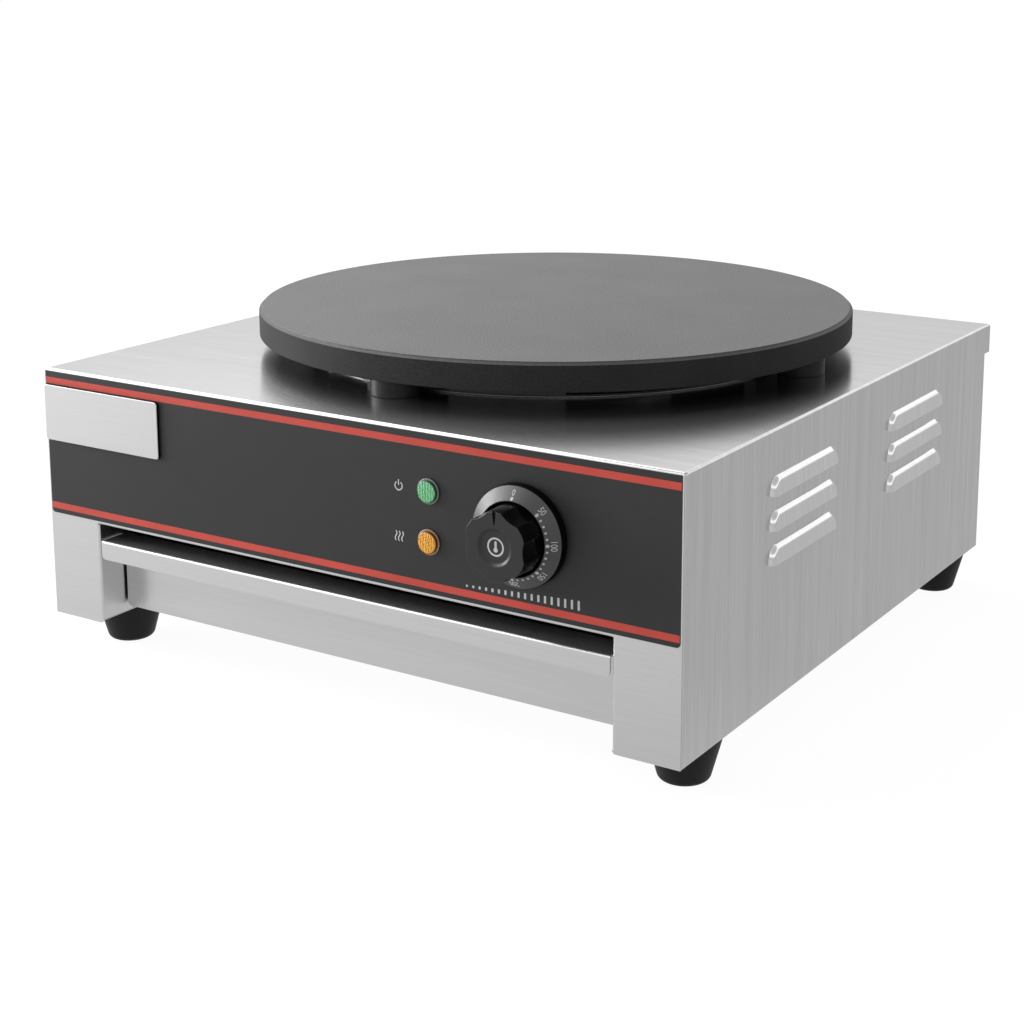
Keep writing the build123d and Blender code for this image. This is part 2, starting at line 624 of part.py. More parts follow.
def make_rear_panel():
    """Rear sheet on the cover's rear flanges, with vents and the gland hole."""
    half = HALF_WIDTH - REAR_PANEL_MARGIN
    top = DECK_UNDER_Z - ASSEMBLY_GAP
    sheet = block(-half, half, SIDE_REAR_Y, REAR_FACE_Y, BASE_Z + REAR_PANEL_FOOT, top)
    flange_half = HALF_WIDTH - REAR_FLANGE - ASSEMBLY_GAP
    foot_z = BASE_Z + REAR_PANEL_FOOT
    sheet += block(
        -flange_half, flange_half, SIDE_REAR_Y - REAR_FLANGE, SIDE_REAR_Y, foot_z, foot_z + PANEL_SHEET
    )
    slot = Rot(90, 0, 0) * extrude(SlotOverall(REAR_VENT_LENGTH, REAR_VENT_HEIGHT), CUT, both=True)
    for column in range(REAR_VENT_COLUMNS):
        for row in range(REAR_VENT_ROWS):
            x = REAR_VENT_MIDDLE_X + (column - (REAR_VENT_COLUMNS - 1) / 2) * REAR_VENT_PITCH_X
            z = BASE_Z + REAR_VENT_MIDDLE_HEIGHT + (row - (REAR_VENT_ROWS - 1) / 2) * REAR_VENT_PITCH_Z
            sheet -= Pos(x, SIDE_REAR_Y, z) * slot
    span = (SIDE_REAR_Y - CUT, REAR_FACE_Y + CUT)
    sheet -= spindle(GLAND_THREAD_RADIUS + SCREW_CLEARANCE, GLAND_X, GLAND_Z, *span)
    for x, z in rear_screw_places():
        sheet -= spindle(REAR_SCREW_RADIUS + SCREW_CLEARANCE, x, z, *span)
    return sheet


def make_rear_screws():
    """Pan-head screws of the rear panel."""
    screws = []
    for x, z in rear_screw_places():
        shank = spindle(REAR_SCREW_RADIUS, x, z, REAR_FACE_Y - REAR_SCREW_LENGTH, REAR_FACE_Y)
        head = spindle(REAR_SCREW_HEAD_RADIUS, x, z, REAR_FACE_Y, REAR_FACE_Y + REAR_SCREW_HEAD)
        head = chamfer(head.edges().group_by(Axis.Y)[-1], REAR_SCREW_HEAD / 3)
        slot = Box(2 * REAR_SCREW_RADIUS, 2 * REAR_SCREW_CROSS_DEPTH, REAR_SCREW_CROSS)
        place = Pos(x, REAR_FACE_Y + REAR_SCREW_HEAD, z)
        screws.append(shank + head - place * slot - place * Rot(0, 90, 0) * slot)
    return screws


# ------------------------------------------------------------------ drawer bay and drawer
def make_drawer_bay():
    """Folded partition over the drawer, on the cover's base flanges, with two stop tabs."""
    outer = BAY_INNER_HALF + BAY_SHEET
    foot_z = BASE_Z + COVER_SHEET
    bay = block(-outer, outer, COVER_FRONT_Y, BAY_REAR_Y, foot_z, BAY_TOP_Z)
    bay -= block(
        -BAY_INNER_HALF,
        BAY_INNER_HALF,
        COVER_FRONT_Y - CUT,
        BAY_REAR_Y - BAY_SHEET,
        foot_z - CUT,
        BAY_CEILING_Z,
    )
    wing = outer + BAY_FLANGE
    front = COVER_FRONT_Y + FRONT_FLANGE
    bay += mirrored(outer, wing, front, BAY_REAR_Y, foot_z, foot_z + BAY_SHEET)
    stop_y = TRAY_FRONT_Y + TRAY_DEPTH - TRAY_SHEET - DRAWER_TRAVEL - ASSEMBLY_GAP
    bay += mirrored(
        BAY_STOP_X - BAY_STOP_WIDTH / 2,
        BAY_STOP_X + BAY_STOP_WIDTH / 2,
        stop_y - BAY_SHEET,
        stop_y,
        BAY_CEILING_Z - BAY_STOP_DROP,
        BAY_CEILING_Z,
    )
    earth_hole = EARTH_RADIUS + SCREW_CLEARANCE
    return bay - post(earth_hole, EARTH_X, FRONT_Y + EARTH_BACK, BAY_CEILING_Z - CUT, BAY_TOP_Z + CUT)


def make_runner(side):
    """Angle that the tray slides on."""
    front = FRONT_Y + NOTCH_RETURN + ASSEMBLY_GAP
    rear = BAY_REAR_Y - BAY_SHEET
    runner = block(
        BAY_INNER_HALF - RUNNER_WIDTH, BAY_INNER_HALF, front, rear, RUNNER_Z - RUNNER_SHEET, RUNNER_Z
    )
    wall = BAY_INNER_HALF - RUNNER_SHEET
    runner += block(wall, BAY_INNER_HALF, front, rear, RUNNER_Z, RUNNER_Z + RUNNER_HEIGHT)
    return runner if side > 0 else mirror(runner, Plane.YZ)


def make_drawer_front():
    """Drawer face with the pull lip along its top."""
    half = DRAWER_HALF
    low, high = BASE_Z + DRAWER_BOTTOM, BASE_Z + DRAWER_TOP
    face = block(-half, half, DRAWER_FACE_Y, TRAY_FRONT_Y, low, high)
    face = fillet(face.edges().filter_by(Axis.Y).group_by(Axis.Z)[0], DRAWER_CORNER)
    pull = block(-half, half, FRONT_Y, DRAWER_FACE_Y, high - PULL_DROP, high)
    pull = fillet(pull.edges().filter_by(Axis.X).group_by(Axis.Y)[0].sort_by(Axis.Z)[-1], PULL_BEND)
    pull -= block(
        -half - CUT, half + CUT, FRONT_Y + DRAWER_SHEET, DRAWER_FACE_Y + CUT, low - CUT, high - DRAWER_SHEET
    )
    lower = [
        e
        for e in pull.edges().filter_by(Axis.Y)
        if e.center().Z < high - PULL_DROP + DRAWER_SHEET and e.length < 2 * DRAWER_SHEET
    ]
    return face + fillet(lower, PULL_CORNER)


def make_drawer_tray():
    """Open tray with hemmed side walls and a raised rear wall that meets the stops."""
    half = TRAY_HALF
    rear = TRAY_FRONT_Y + TRAY_DEPTH
    top = BASE_Z + TRAY_WALL_TOP
    tray = block(-half, half, TRAY_FRONT_Y, rear, TRAY_Z, top)
    tray = fillet(tray.edges().filter_by(Axis.Y).group_by(Axis.Z)[0], FOLD_RADIUS)
    room = half - TRAY_SHEET
    tray -= block(-room, room, TRAY_FRONT_Y + TRAY_SHEET, rear - TRAY_SHEET, TRAY_Z + TRAY_SHEET, top + CUT)
    hem_z = top - TRAY_HEM * 2
    tray += mirrored(half, half + TRAY_SHEET, TRAY_FRONT_Y, rear, hem_z, top)
    stop_half = BAY_STOP_X + BAY_STOP_WIDTH
    return tray + block(-stop_half, stop_half, rear - TRAY_SHEET, rear, top, BASE_Z + TRAY_STOP_TOP)


# ------------------------------------------------------------------ front trim
def make_overlay():
    """Thin control strip across the front."""
    half = HALF_WIDTH - OVERLAY_MARGIN
    strip = block(-half, half, OVERLAY_Y, FRONT_Y, BASE_Z + OVERLAY_BOTTOM, BASE_Z + OVERLAY_TOP)
    strip = fillet(strip.edges().filter_by(Axis.Y).group_by(Axis.Z)[0], OVERLAY_CORNER)
    return strip - front_holes()


def make_badge_plate():
    """Bare metal plate at the left end of the strip."""
    left = -HALF_WIDTH + OVERLAY_MARGIN
    low = BASE_Z + BADGE_BOTTOM
    plate = block(left, left + BADGE_LENGTH, OVERLAY_Y - BADGE_SHEET, OVERLAY_Y, low, low + BADGE_HEIGHT)
    plate = fillet(plate.edges().filter_by(Axis.Y), BADGE_CORNER)
    return chamfer(plate.edges().group_by(Axis.Y)[0], BADGE_BEVEL)


def make_lamp_lens(height):
    """Coloured lens: a rim on the strip, a ribbed dome and a neck through the panel."""
    z = BASE_Z + height
    rim_y = OVERLAY_Y - LAMP_RIM_PROUD
    face_y = OVERLAY_Y - LAMP_LENS_PROUD
    lens = spindle(LAMP_RIM_RADIUS, LAMP_X, z, rim_y, OVERLAY_Y)
    lens = chamfer(lens.edges().group_by(Axis.Y)[0], LAMP_RIM_PROUD / 2)
    dome = spindle(LAMP_LENS_RADIUS, LAMP_X, z, face_y, rim_y)
    lens += chamfer(dome.edges().group_by(Axis.Y)[0], LAMP_LENS_EDGE)
    pitch = 2 * LAMP_LENS_RADIUS / (LAMP_GROOVES + 1)
    groove = Rot(0, 0, 45) * Box(LAMP_GROOVE, LAMP_GROOVE, 2 * LAMP_LENS_RADIUS)
    for i in range(LAMP_GROOVES):
        lens -= Pos(LAMP_X + (i - (LAMP_GROOVES - 1) / 2) * pitch, face_y, z) * groove
    return lens + spindle(LAMP_NECK_RADIUS, LAMP_X, z, OVERLAY_Y, COVER_FRONT_Y)


def make_lamp_body(height):
    """Lamp holder behind the panel, with its nut collar and two solder tabs."""
    z = BASE_Z + height
    rear = COVER_FRONT_Y + LAMP_BODY_LENGTH
    holder = spindle(LAMP_NECK_RADIUS, LAMP_X, z, COVER_FRONT_Y, rear)
    holder = chamfer(holder.edges().group_by(Axis.Y)[-1], LAMP_NECK_RADIUS / 5)
    holder += hex_spindle(LAMP_NUT_SIZE, LAMP_X, z, COVER_FRONT_Y, COVER_FRONT_Y + LAMP_NUT_THICKNESS)
    for x in lamp_tab_places():
        holder += block(
            x - LAMP_TAB_SHEET / 2,
            x + LAMP_TAB_SHEET / 2,
            rear - LAMP_TAB_SHEET,
            rear + LAMP_TAB_LENGTH,
            z - LAMP_TAB_WIDTH / 2,
            z + LAMP_TAB_WIDTH / 2,
        )
    return holder


def lamp_tab_places():
    """X of the two tabs behind each lamp."""
    return LAMP_X - LAMP_TAB_SPACING / 2, LAMP_X + LAMP_TAB_SPACING / 2


# ------------------------------------------------------------------ control
def make_dial_ring():
    """Fixed conical ring round the knob, with a thin web that the thermostat screws clamp."""
    inner = KNOB_RADIUS + KNOB_BASE_FLARE + KNOB_CLEARANCE
    wall_y = OVERLAY_Y - DIAL_WALL
    face_y = OVERLAY_Y - DIAL_PROUD
    floor_y = OVERLAY_Y - DIAL_FLOOR
    ring = turned_forward(
        [
            (SHAFT_RADIUS + ASSEMBLY_GAP, OVERLAY_Y),
            (DIAL_RADIUS, OVERLAY_Y),
            (DIAL_RADIUS, wall_y + DIAL_EDGE),
            (DIAL_RADIUS - DIAL_EDGE, wall_y - DIAL_EDGE / 2),
            (inner + DIAL_EDGE, face_y),
            (inner, face_y + DIAL_EDGE),
            (inner, floor_y),
            (SHAFT_RADIUS + ASSEMBLY_GAP, floor_y),
        ],
        KNOB_X,
        KNOB_Z,
    )
    for x in control_screw_places():
        hole = CONTROL_SCREW_RADIUS + SCREW_CLEARANCE
        ring -= spindle(hole, x, KNOB_Z, floor_y - CUT, OVERLAY_Y + CUT)
    return ring


def make_control_screws():
    """Screws through ring, strip and panel into the thermostat's face."""
    head_y = OVERLAY_Y - DIAL_FLOOR
    screws = []
    for x in control_screw_places():
        shank = spindle(CONTROL_SCREW_RADIUS, x, KNOB_Z, head_y, head_y + CONTROL_SCREW_LENGTH)
        head = spindle(CONTROL_SCREW_HEAD_RADIUS, x, KNOB_Z, head_y - CONTROL_SCREW_HEAD, head_y)
        screws.append(shank + head)
    return screws


def shaft_section(radius):
    """Round section with one flat, towards the pointer."""
    half = radius
    flat = SHAFT_RADIUS - SHAFT_FLAT + (radius - SHAFT_RADIUS)
    return Circle(half) - Pos(0, flat + half) * Rectangle(4 * half, 2 * half)


def make_knob():
    """Lobed knob: scallops that fade towards its base, a dished cap, a pointer slot and a hub."""
    base = KNOB_RADIUS + KNOB_BASE_FLARE
    body = turned_forward(
        [
            (0, KNOB_FACE_Y),
            (KNOB_RADIUS - KNOB_EDGE, KNOB_FACE_Y),
            (KNOB_RADIUS, KNOB_FACE_Y + KNOB_EDGE),
            (base, KNOB_BACK_Y),
            (0, KNOB_BACK_Y),
        ],
        KNOB_X,
        KNOB_Z,
    )
    centre = KNOB_RADIUS + KNOB_SCALLOP_RADIUS - KNOB_SCALLOP_DEPTH
    length = 4 * KNOB_FACE_PROUD
    for i in range(KNOB_LOBES):
        turn = 360 / KNOB_LOBES * (i + 0.5)
        scoop = Pos(0, 0, centre) * Rot(90 + KNOB_SCALLOP_TILT, 0, 0) * Cylinder(KNOB_SCALLOP_RADIUS, length)
        body -= Pos(KNOB_X, KNOB_FACE_Y, KNOB_Z) * Rot(0, turn, 0) * scoop
    ball = (KNOB_CAP_RADIUS**2 + KNOB_CAP_DEPTH**2) / (2 * KNOB_CAP_DEPTH)
    body -= Pos(KNOB_X, KNOB_FACE_Y + KNOB_CAP_DEPTH - ball, KNOB_Z) * Sphere(ball)
    slot = Polyline(
        (-KNOB_SLOT_WIDTH / 2, base),
        (KNOB_SLOT_WIDTH / 2, base),
        (KNOB_SLOT_TIP / 2, KNOB_RADIUS - KNOB_SLOT_LENGTH),
        (-KNOB_SLOT_TIP / 2, KNOB_RADIUS - KNOB_SLOT_LENGTH),
        close=True,
    )
    cutter = Rot(90, 0, 0) * extrude(make_face(slot), KNOB_SLOT_DEPTH, both=True)
    body -= Pos(KNOB_X, KNOB_FACE_Y, KNOB_Z) * cutter

    hub = SHAFT_RADIUS + KNOB_WALL
    room_y = KNOB_FACE_Y + KNOB_CAP_DEPTH + KNOB_WALL
    hollow = spindle(KNOB_RADIUS - KNOB_SCALLOP_DEPTH - KNOB_WALL, KNOB_X, KNOB_Z, room_y, KNOB_BACK_Y + CUT)
    body -= hollow - spindle(hub, KNOB_X, KNOB_Z, room_y, KNOB_BACK_Y + CUT)
    bore = extrude(shaft_section(SHAFT_RADIUS + SEAT_CLEARANCE), SHAFT_IN_KNOB + CUT)
    return body - Pos(KNOB_X, KNOB_BACK_Y + CUT, KNOB_Z) * Rot(90, 0, 0) * bore


def make_shaft():
    """Thermostat shaft: flat-sided in the knob, round in the thermostat."""
    end_y = THERMOSTAT_FRONT_Y + SHAFT_IN_BODY
    flat = extrude(shaft_section(SHAFT_RADIUS), SHAFT_IN_KNOB)
    return spindle(SHAFT_RADIUS, KNOB_X, KNOB_Z, KNOB_BACK_Y, end_y) + (
        Pos(KNOB_X, KNOB_BACK_Y, KNOB_Z) * Rot(90, 0, 0) * flat
    )


def make_thermostat():
    """Thermostat: face plate on the panel, switch housing with a stepped back, two tabs."""
    half, rise = THERMOSTAT_WIDTH / 2, THERMOSTAT_HEIGHT / 2
    face_y = THERMOSTAT_FRONT_Y + THERMOSTAT_FACE_SHEET
    face_rise = THERMOSTAT_FACE_HEIGHT / 2
    body = block(
        KNOB_X - half, KNOB_X + half, THERMOSTAT_FRONT_Y, face_y, KNOB_Z - face_rise, KNOB_Z + face_rise
    )
    waist_y = face_y + THERMOSTAT_WAIST_DEPTH
    body += spindle(THERMOSTAT_WAIST_RADIUS, KNOB_X, KNOB_Z, face_y, waist_y)
    housing = block(KNOB_X - half, KNOB_X + half, waist_y, THERMOSTAT_REAR_Y, KNOB_Z - rise, KNOB_Z + rise)
    body += fillet(housing.edges().filter_by(Axis.Y), FOLD_RADIUS)
    for x, z in thermostat_tabs():
        body += block(
            x - TERMINAL_TAB_SHEET / 2,
            x + TERMINAL_TAB_SHEET / 2,
            THERMOSTAT_REAR_Y,
            THERMOSTAT_REAR_Y + TERMINAL_TAB_LENGTH,
            z - TERMINAL_TAB_WIDTH / 2,
            z + TERMINAL_TAB_WIDTH / 2,
        )
    bore_end = THERMOSTAT_FRONT_Y + SHAFT_IN_BODY + ASSEMBLY_GAP
    body -= spindle(SHAFT_RADIUS + RUNNING_CLEARANCE, KNOB_X, KNOB_Z, THERMOSTAT_FRONT_Y - CUT, bore_end)
    screw_end = OVERLAY_Y - DIAL_FLOOR + CONTROL_SCREW_LENGTH + ASSEMBLY_GAP
    hole = CONTROL_SCREW_RADIUS + SCREW_CLEARANCE
    for x in control_screw_places():
        body -= spindle(hole, x, KNOB_Z, THERMOSTAT_FRONT_Y - CUT, screw_end)
    return body


def thermostat_tabs():
    """X and Z of the thermostat's two blade terminals: feed, then switched."""
    z = KNOB_Z - TERMINAL_TAB_RISE
    return (KNOB_X + TERMINAL_TAB_ASIDE, z), (KNOB_X - TERMINAL_TAB_ASIDE, z)


def make_bulb():
    """Sensing bulb under the plate."""
    bulb = Pos(0, PLATE_Y, BULB_Z) * Rot(0, 90, 0) * Cylinder(BULB_RADIUS, BULB_LENGTH)
    return chamfer(bulb.edges().filter_by(GeomType.CIRCLE), BULB_RADIUS / 3)


def make_capillary():
    """Thin tube from the bulb, down through the heat pan and forward to the thermostat."""
    run_z = PAN_FLOOR_Z - CAPILLARY_DROP
    end_x = KNOB_X - TERMINAL_TAB_ASIDE
    end_z = KNOB_Z + TERMINAL_TAB_RISE
    return lead(
        [
            (BULB_LENGTH / 2, PLATE_Y, BULB_Z),
            (CAPILLARY_DOWN_X, PLATE_Y, BULB_Z),
            (CAPILLARY_DOWN_X, PLATE_Y, run_z),
            (end_x, PLATE_Y - (end_x - CAPILLARY_DOWN_X), run_z),
            (end_x, THERMOSTAT_REAR_Y + 2 * LEAD_RUN, run_z),
            (end_x, THERMOSTAT_REAR_Y + LEAD_RUN, end_z),
            (end_x, THERMOSTAT_REAR_Y, end_z),
        ],
        CAPILLARY_RADIUS,
    )


def make_bulb_clip():
    """Omega strap that holds the bulb to the plate."""
    reach = BULB_RADIUS + CLIP_SHEET + SCREW_CLEARANCE
    inner = BULB_RADIUS + SCREW_CLEARANCE
    half = CLIP_WIDTH / 2
    strap = block(-half, half, PLATE_Y - reach, PLATE_Y + reach, BULB_Z - reach, PLATE_WEB_Z)
    strap = fillet(strap.edges().filter_by(Axis.X).group_by(Axis.Z)[0], inner)
    channel = Pos(0, PLATE_Y, BULB_Z) * Rot(0, 90, 0) * Cylinder(inner, CLIP_WIDTH + CUT)
    channel += block(-CLIP_WIDTH, CLIP_WIDTH, PLATE_Y - inner, PLATE_Y + inner, BULB_Z, PLATE_WEB_Z + CUT)
    wings = block(
        -half,
        half,
        PLATE_Y - reach - CLIP_WING,
        PLATE_Y + reach + CLIP_WING,
        PLATE_WEB_Z - CLIP_SHEET,
        PLATE_WEB_Z,
    )
    return strap + wings - channel


# ------------------------------------------------------------------ griddle plate and its heat
def make_griddle_plate():
    """Cast plate: stepped edge, hollow underside, four legs and the clamp studs."""
    rim_inner = PLATE_RADIUS - PLATE_RIM_WALL
    plate = turned(
        [
            (0, PLATE_TOP_Z),
            (PLATE_RADIUS - PLATE_BEVEL, PLATE_TOP_Z),
            (PLATE_RADIUS - PLATE_BEVEL + PLATE_STEP / 4, PLATE_TOP_Z - PLATE_STEP),
            (PLATE_RADIUS, PLATE_TOP_Z - PLATE_BEVEL),
            (PLATE_RADIUS, PLATE_UNDER_Z + PLATE_LOWER_EDGE),
            (PLATE_RADIUS - PLATE_LOWER_EDGE, PLATE_UNDER_Z),
            (rim_inner, PLATE_UNDER_Z),
            (rim_inner - PLATE_LOWER_EDGE, PLATE_WEB_Z),
            (0, PLATE_WEB_Z),
        ],
        0,
        PLATE_Y,
    )
    for angle in LEG_ANGLES:
        x, y = ring_place(LEG_CIRCLE, angle)
        plate += post(LEG_RADIUS, x, y, DECK_Z, PLATE_WEB_Z + PLATE_LOWER_EDGE)
        plate -= post(LEG_BOLT_RADIUS + SCREW_CLEARANCE, x, y, DECK_Z - CUT, DECK_Z + LEG_BOLT_DEPTH)
    for x, y in stud_places():
        foot = CLAMP_Z - STUD_NUT_THICKNESS - STUD_TAIL
        plate += post(STUD_RADIUS, x, y, foot, PLATE_WEB_Z + PLATE_LOWER_EDGE)
    return plate


def stud_radii():
    """Circles of the clamp studs, midway between neighbouring element loops."""
    return (ELEMENT_OUTER_LOOP + ELEMENT_MIDDLE_LOOP) / 2, (ELEMENT_MIDDLE_LOOP + ELEMENT_INNER_LOOP) / 2


def stud_places():
    """X and Y of the clamp studs under the plate."""
    return [ring_place(radius, angle) for angle in CLAMP_ANGLES for radius in stud_radii()]


def make_clamp(angle):
    """Flat bar that presses the three loops against the plate."""
    low = ELEMENT_INNER_LOOP - CLAMP_REACH
    high = ELEMENT_OUTER_LOOP + CLAMP_REACH
    bar = block(low, high, -CLAMP_WIDTH / 2, CLAMP_WIDTH / 2, CLAMP_Z, CLAMP_Z + CLAMP_THICKNESS)
    bar = fillet(bar.edges().filter_by(Axis.Z), CLAMP_WIDTH / 4)
    for radius in stud_radii():
        bar -= post(STUD_RADIUS + SCREW_CLEARANCE, radius, 0, CLAMP_Z - CUT, CLAMP_Z + CUT)
    return Pos(0, PLATE_Y, 0) * Rot(0, 0, angle) * bar


def make_clamp_nuts():
    """Nuts of the clamp studs."""
    nuts = []
    for x, y in stud_places():
        nut = hex_post(STUD_NUT_SIZE, x, y, CLAMP_Z - STUD_NUT_THICKNESS, CLAMP_Z)
        nuts.append(nut - post(STUD_RADIUS + SCREW_CLEARANCE, x, y, CLAMP_Z - 2 * CUT, CLAMP_Z + CUT))
    return nuts


def loop_point(radius, angle):
    """Point of a loop in the element's plane."""
    x, y = ring_place(radius, angle)
    return Vector(x, y, ELEMENT_Z)


def loop_arc(radius, start, end):
    """Arc of one loop about the plate's middle."""
    return ThreePointArc(
        loop_point(radius, start), loop_point(radius, (start + end) / 2), loop_point(radius, end)
    )


def hairpin(outer, inner, angle, turn):
    """Half turn that joins two loops at one angle."""
    reach = (outer - inner) / 2
    along = Vector(-sin(radians(angle)), cos(radians(angle)), 0) * (turn * reach)
    top = loop_point((outer + inner) / 2, angle) + along
    return ThreePointArc(loop_point(outer, angle), top, loop_point(inner, angle))


def tail(radius, angle, turn):
    """Quarter bend and upright leg that take an end of the element below the heat pan."""
    along = Vector(-sin(radians(angle)), cos(radians(angle)), 0) * turn
    foot = loop_point(radius, angle) + along * ELEMENT_BEND + Vector(0, 0, -ELEMENT_BEND)
    half_turn = radians(45)
    rise = Vector(0, 0, ELEMENT_BEND * sin(half_turn))
    elbow = foot + rise - along * (ELEMENT_BEND * (1 - cos(half_turn)))
    bend = ThreePointArc(foot, elbow, loop_point(radius, angle))
    leg = Line(Vector(foot.X, foot.Y, ELEMENT_END_Z), foot)
    return bend, leg


def element_ends():
    """Feet of the two upright legs."""
    first = tail(ELEMENT_OUTER_LOOP, ELEMENT_START_ANGLE, -1)[1] @ 0
    last = tail(ELEMENT_INNER_LOOP, ELEMENT_END_ANGLE, 1)[1] @ 0
    return first, last


def make_element():
    """Tubular element: three loops joined by hairpins, two legs with their pins."""
    first_bend, first_leg = tail(ELEMENT_OUTER_LOOP, ELEMENT_START_ANGLE, -1)
    last_bend, last_leg = tail(ELEMENT_INNER_LOOP, ELEMENT_END_ANGLE, 1)
    path = Wire(
        [
            first_leg,
            first_bend,
            loop_arc(ELEMENT_OUTER_LOOP, ELEMENT_START_ANGLE, ELEMENT_END_ANGLE),
            hairpin(ELEMENT_OUTER_LOOP, ELEMENT_MIDDLE_LOOP, ELEMENT_END_ANGLE, 1),
            loop_arc(ELEMENT_MIDDLE_LOOP, ELEMENT_END_ANGLE, ELEMENT_INNER_ANGLE),
            hairpin(ELEMENT_MIDDLE_LOOP, ELEMENT_INNER_LOOP, ELEMENT_INNER_ANGLE, -1),
            loop_arc(ELEMENT_INNER_LOOP, ELEMENT_INNER_ANGLE, ELEMENT_END_ANGLE),
            last_bend,
            last_leg,
        ]
    )
    element = tube(path, ELEMENT_RADIUS)
    for foot in element_ends():
        element += post(ELEMENT_PIN_RADIUS, foot.X, foot.Y, PIN_END_Z, ELEMENT_END_Z)
    return element


def make_guard_ring():
    """Collar between deck and plate, with a slot behind each leg and a window beside it."""
    top = PLATE_WEB_Z - GUARD_TOP_GAP
    inner = GUARD_RADIUS - GUARD_SHEET
    ring = turned(
        [
            (GUARD_RADIUS - GUARD_FLANGE, DECK_Z),
            (GUARD_RADIUS, DECK_Z),
            (GUARD_RADIUS, top),
            (inner, top),
            (inner, DECK_Z + GUARD_SHEET),
            (GUARD_RADIUS - GUARD_FLANGE, DECK_Z + GUARD_SHEET),
        ],
        0,
        PLATE_Y,
    )
    sill = DECK_Z + GUARD_SILL
    reach = GUARD_RADIUS + CUT
    for angle in LEG_ANGLES:
        slot_start = angle - GUARD_SLOT_ANGLE / 2
        window_start = angle + GUARD_SLOT_ANGLE / 2 + GUARD_WEB_ANGLE
        for start, width in ((slot_start, GUARD_SLOT_ANGLE), (window_start, GUARD_WINDOW_ANGLE)):
            wedge = Rot(0, 0, start) * ring_sector(inner - CUT, reach, sill, top - GUARD_SILL, width)
            ring -= Pos(0, PLATE_Y, 0) * wedge
    for x, y in pan_screw_places():
        ring -= post(PAN_SCREW_RADIUS + SCREW_CLEARANCE, x, y, DECK_Z - CUT, DECK_Z + 2 * GUARD_SHEET)
    return ring


def ring_sector(inner, outer, z0, z1, angle):
    """Sector of a ring, from angle 0 upwards."""
    outline = make_face(Polyline((inner, 0, z0), (outer, 0, z0), (outer, 0, z1), (inner, 0, z1), close=True))
    return revolve(outline, Axis.Z, revolution_arc=angle)


def make_heat_pan():
    """Pressed pan under the deck."""
    flange_z = DECK_UNDER_Z - PAN_SHEET
    pan = turned(
        [
            (0, PAN_FLOOR_Z),
            (PAN_RADIUS - FOLD_RADIUS, PAN_FLOOR_Z),
            (PAN_RADIUS, PAN_FLOOR_Z + FOLD_RADIUS),
            (PAN_RADIUS, flange_z),
            (PAN_FLANGE_RADIUS, flange_z),
            (PAN_FLANGE_RADIUS, DECK_UNDER_Z),
            (PAN_RADIUS - PAN_SHEET, DECK_UNDER_Z),
            (PAN_RADIUS - PAN_SHEET, PAN_FLOOR_Z + FOLD_RADIUS),
            (PAN_RADIUS - FOLD_RADIUS, PAN_FLOOR_Z + PAN_SHEET),
            (0, PAN_FLOOR_Z + PAN_SHEET),
        ],
        0,
        PLATE_Y,
    )
    for x, y in pan_screw_places():
        pan -= post(PAN_SCREW_RADIUS + SCREW_CLEARANCE, x, y, flange_z - CUT, DECK_UNDER_Z + CUT)
    return pan - pan_ways()


def pan_ways():
    """Cutters for the element's legs and the capillary through pan, insulation and reflector."""
    span = (PAN_FLOOR_Z - CUT, DECK_Z)
    ways = [post(ELEMENT_RADIUS + WIRE_WAY, foot.X, foot.Y, *span) for foot in element_ends()]
    ways.append(post(CAPILLARY_RADIUS + WIRE_WAY, CAPILLARY_DOWN_X, PLATE_Y, *span))
    return ways


def make_insulation():
    """Mineral wool disc on the pan's floor."""
    radius = PAN_RADIUS - FOLD_RADIUS - ASSEMBLY_GAP
    return post(radius, 0, PLATE_Y, INSULATION_Z, REFLECTOR_Z) - pan_ways()


def make_reflector():
    """Bright dish on the insulation."""
    radius = PAN_RADIUS - FOLD_RADIUS - ASSEMBLY_GAP
    dish = turned(
        [
            (0, REFLECTOR_Z),
            (radius, REFLECTOR_Z),
            (radius, REFLECTOR_Z + REFLECTOR_RIM),
            (radius - REFLECTOR_SHEET, REFLECTOR_Z + REFLECTOR_RIM),
            (radius - REFLECTOR_SHEET, REFLECTOR_Z + REFLECTOR_SHEET),
            (0, REFLECTOR_Z + REFLECTOR_SHEET),
        ],
        0,
        PLATE_Y,
    )
    return dish - pan_ways()


def make_pan_screws():
    """Screws down through guard ring, deck and pan flange."""
    head_z = DECK_Z + GUARD_SHEET
    screws = []
    for x, y in pan_screw_places():
        head = post(PAN_SCREW_HEAD_RADIUS, x, y, head_z, head_z + PAN_SCREW_HEAD)
        screws.append(head + post(PAN_SCREW_RADIUS, x, y, head_z - PAN_SCREW_LENGTH, head_z))
    return screws


def make_pan_nuts():
    """Nuts of the pan screws."""
    top = DECK_UNDER_Z - PAN_SHEET
    low = top - PAN_NUT_THICKNESS
    bore = PAN_SCREW_RADIUS + SCREW_CLEARANCE
    return [
        hex_post(PAN_NUT_SIZE, x, y, low, top) - post(bore, x, y, low - CUT, top + CUT)
        for x, y in pan_screw_places()
    ]


def make_leg_bolts():
    """Hexagon bolts up through the deck into the plate's legs."""
    tip_z = DECK_Z + LEG_BOLT_DEPTH - ASSEMBLY_GAP
    bolts = []
    for angle in LEG_ANGLES:
        x, y = ring_place(LEG_CIRCLE, angle)
        head = hex_post(STUD_NUT_SIZE, x, y, DECK_UNDER_Z - LEG_BOLT_HEAD, DECK_UNDER_Z)
        bolts.append(head + post(LEG_BOLT_RADIUS, x, y, DECK_UNDER_Z, tip_z))
    return bolts


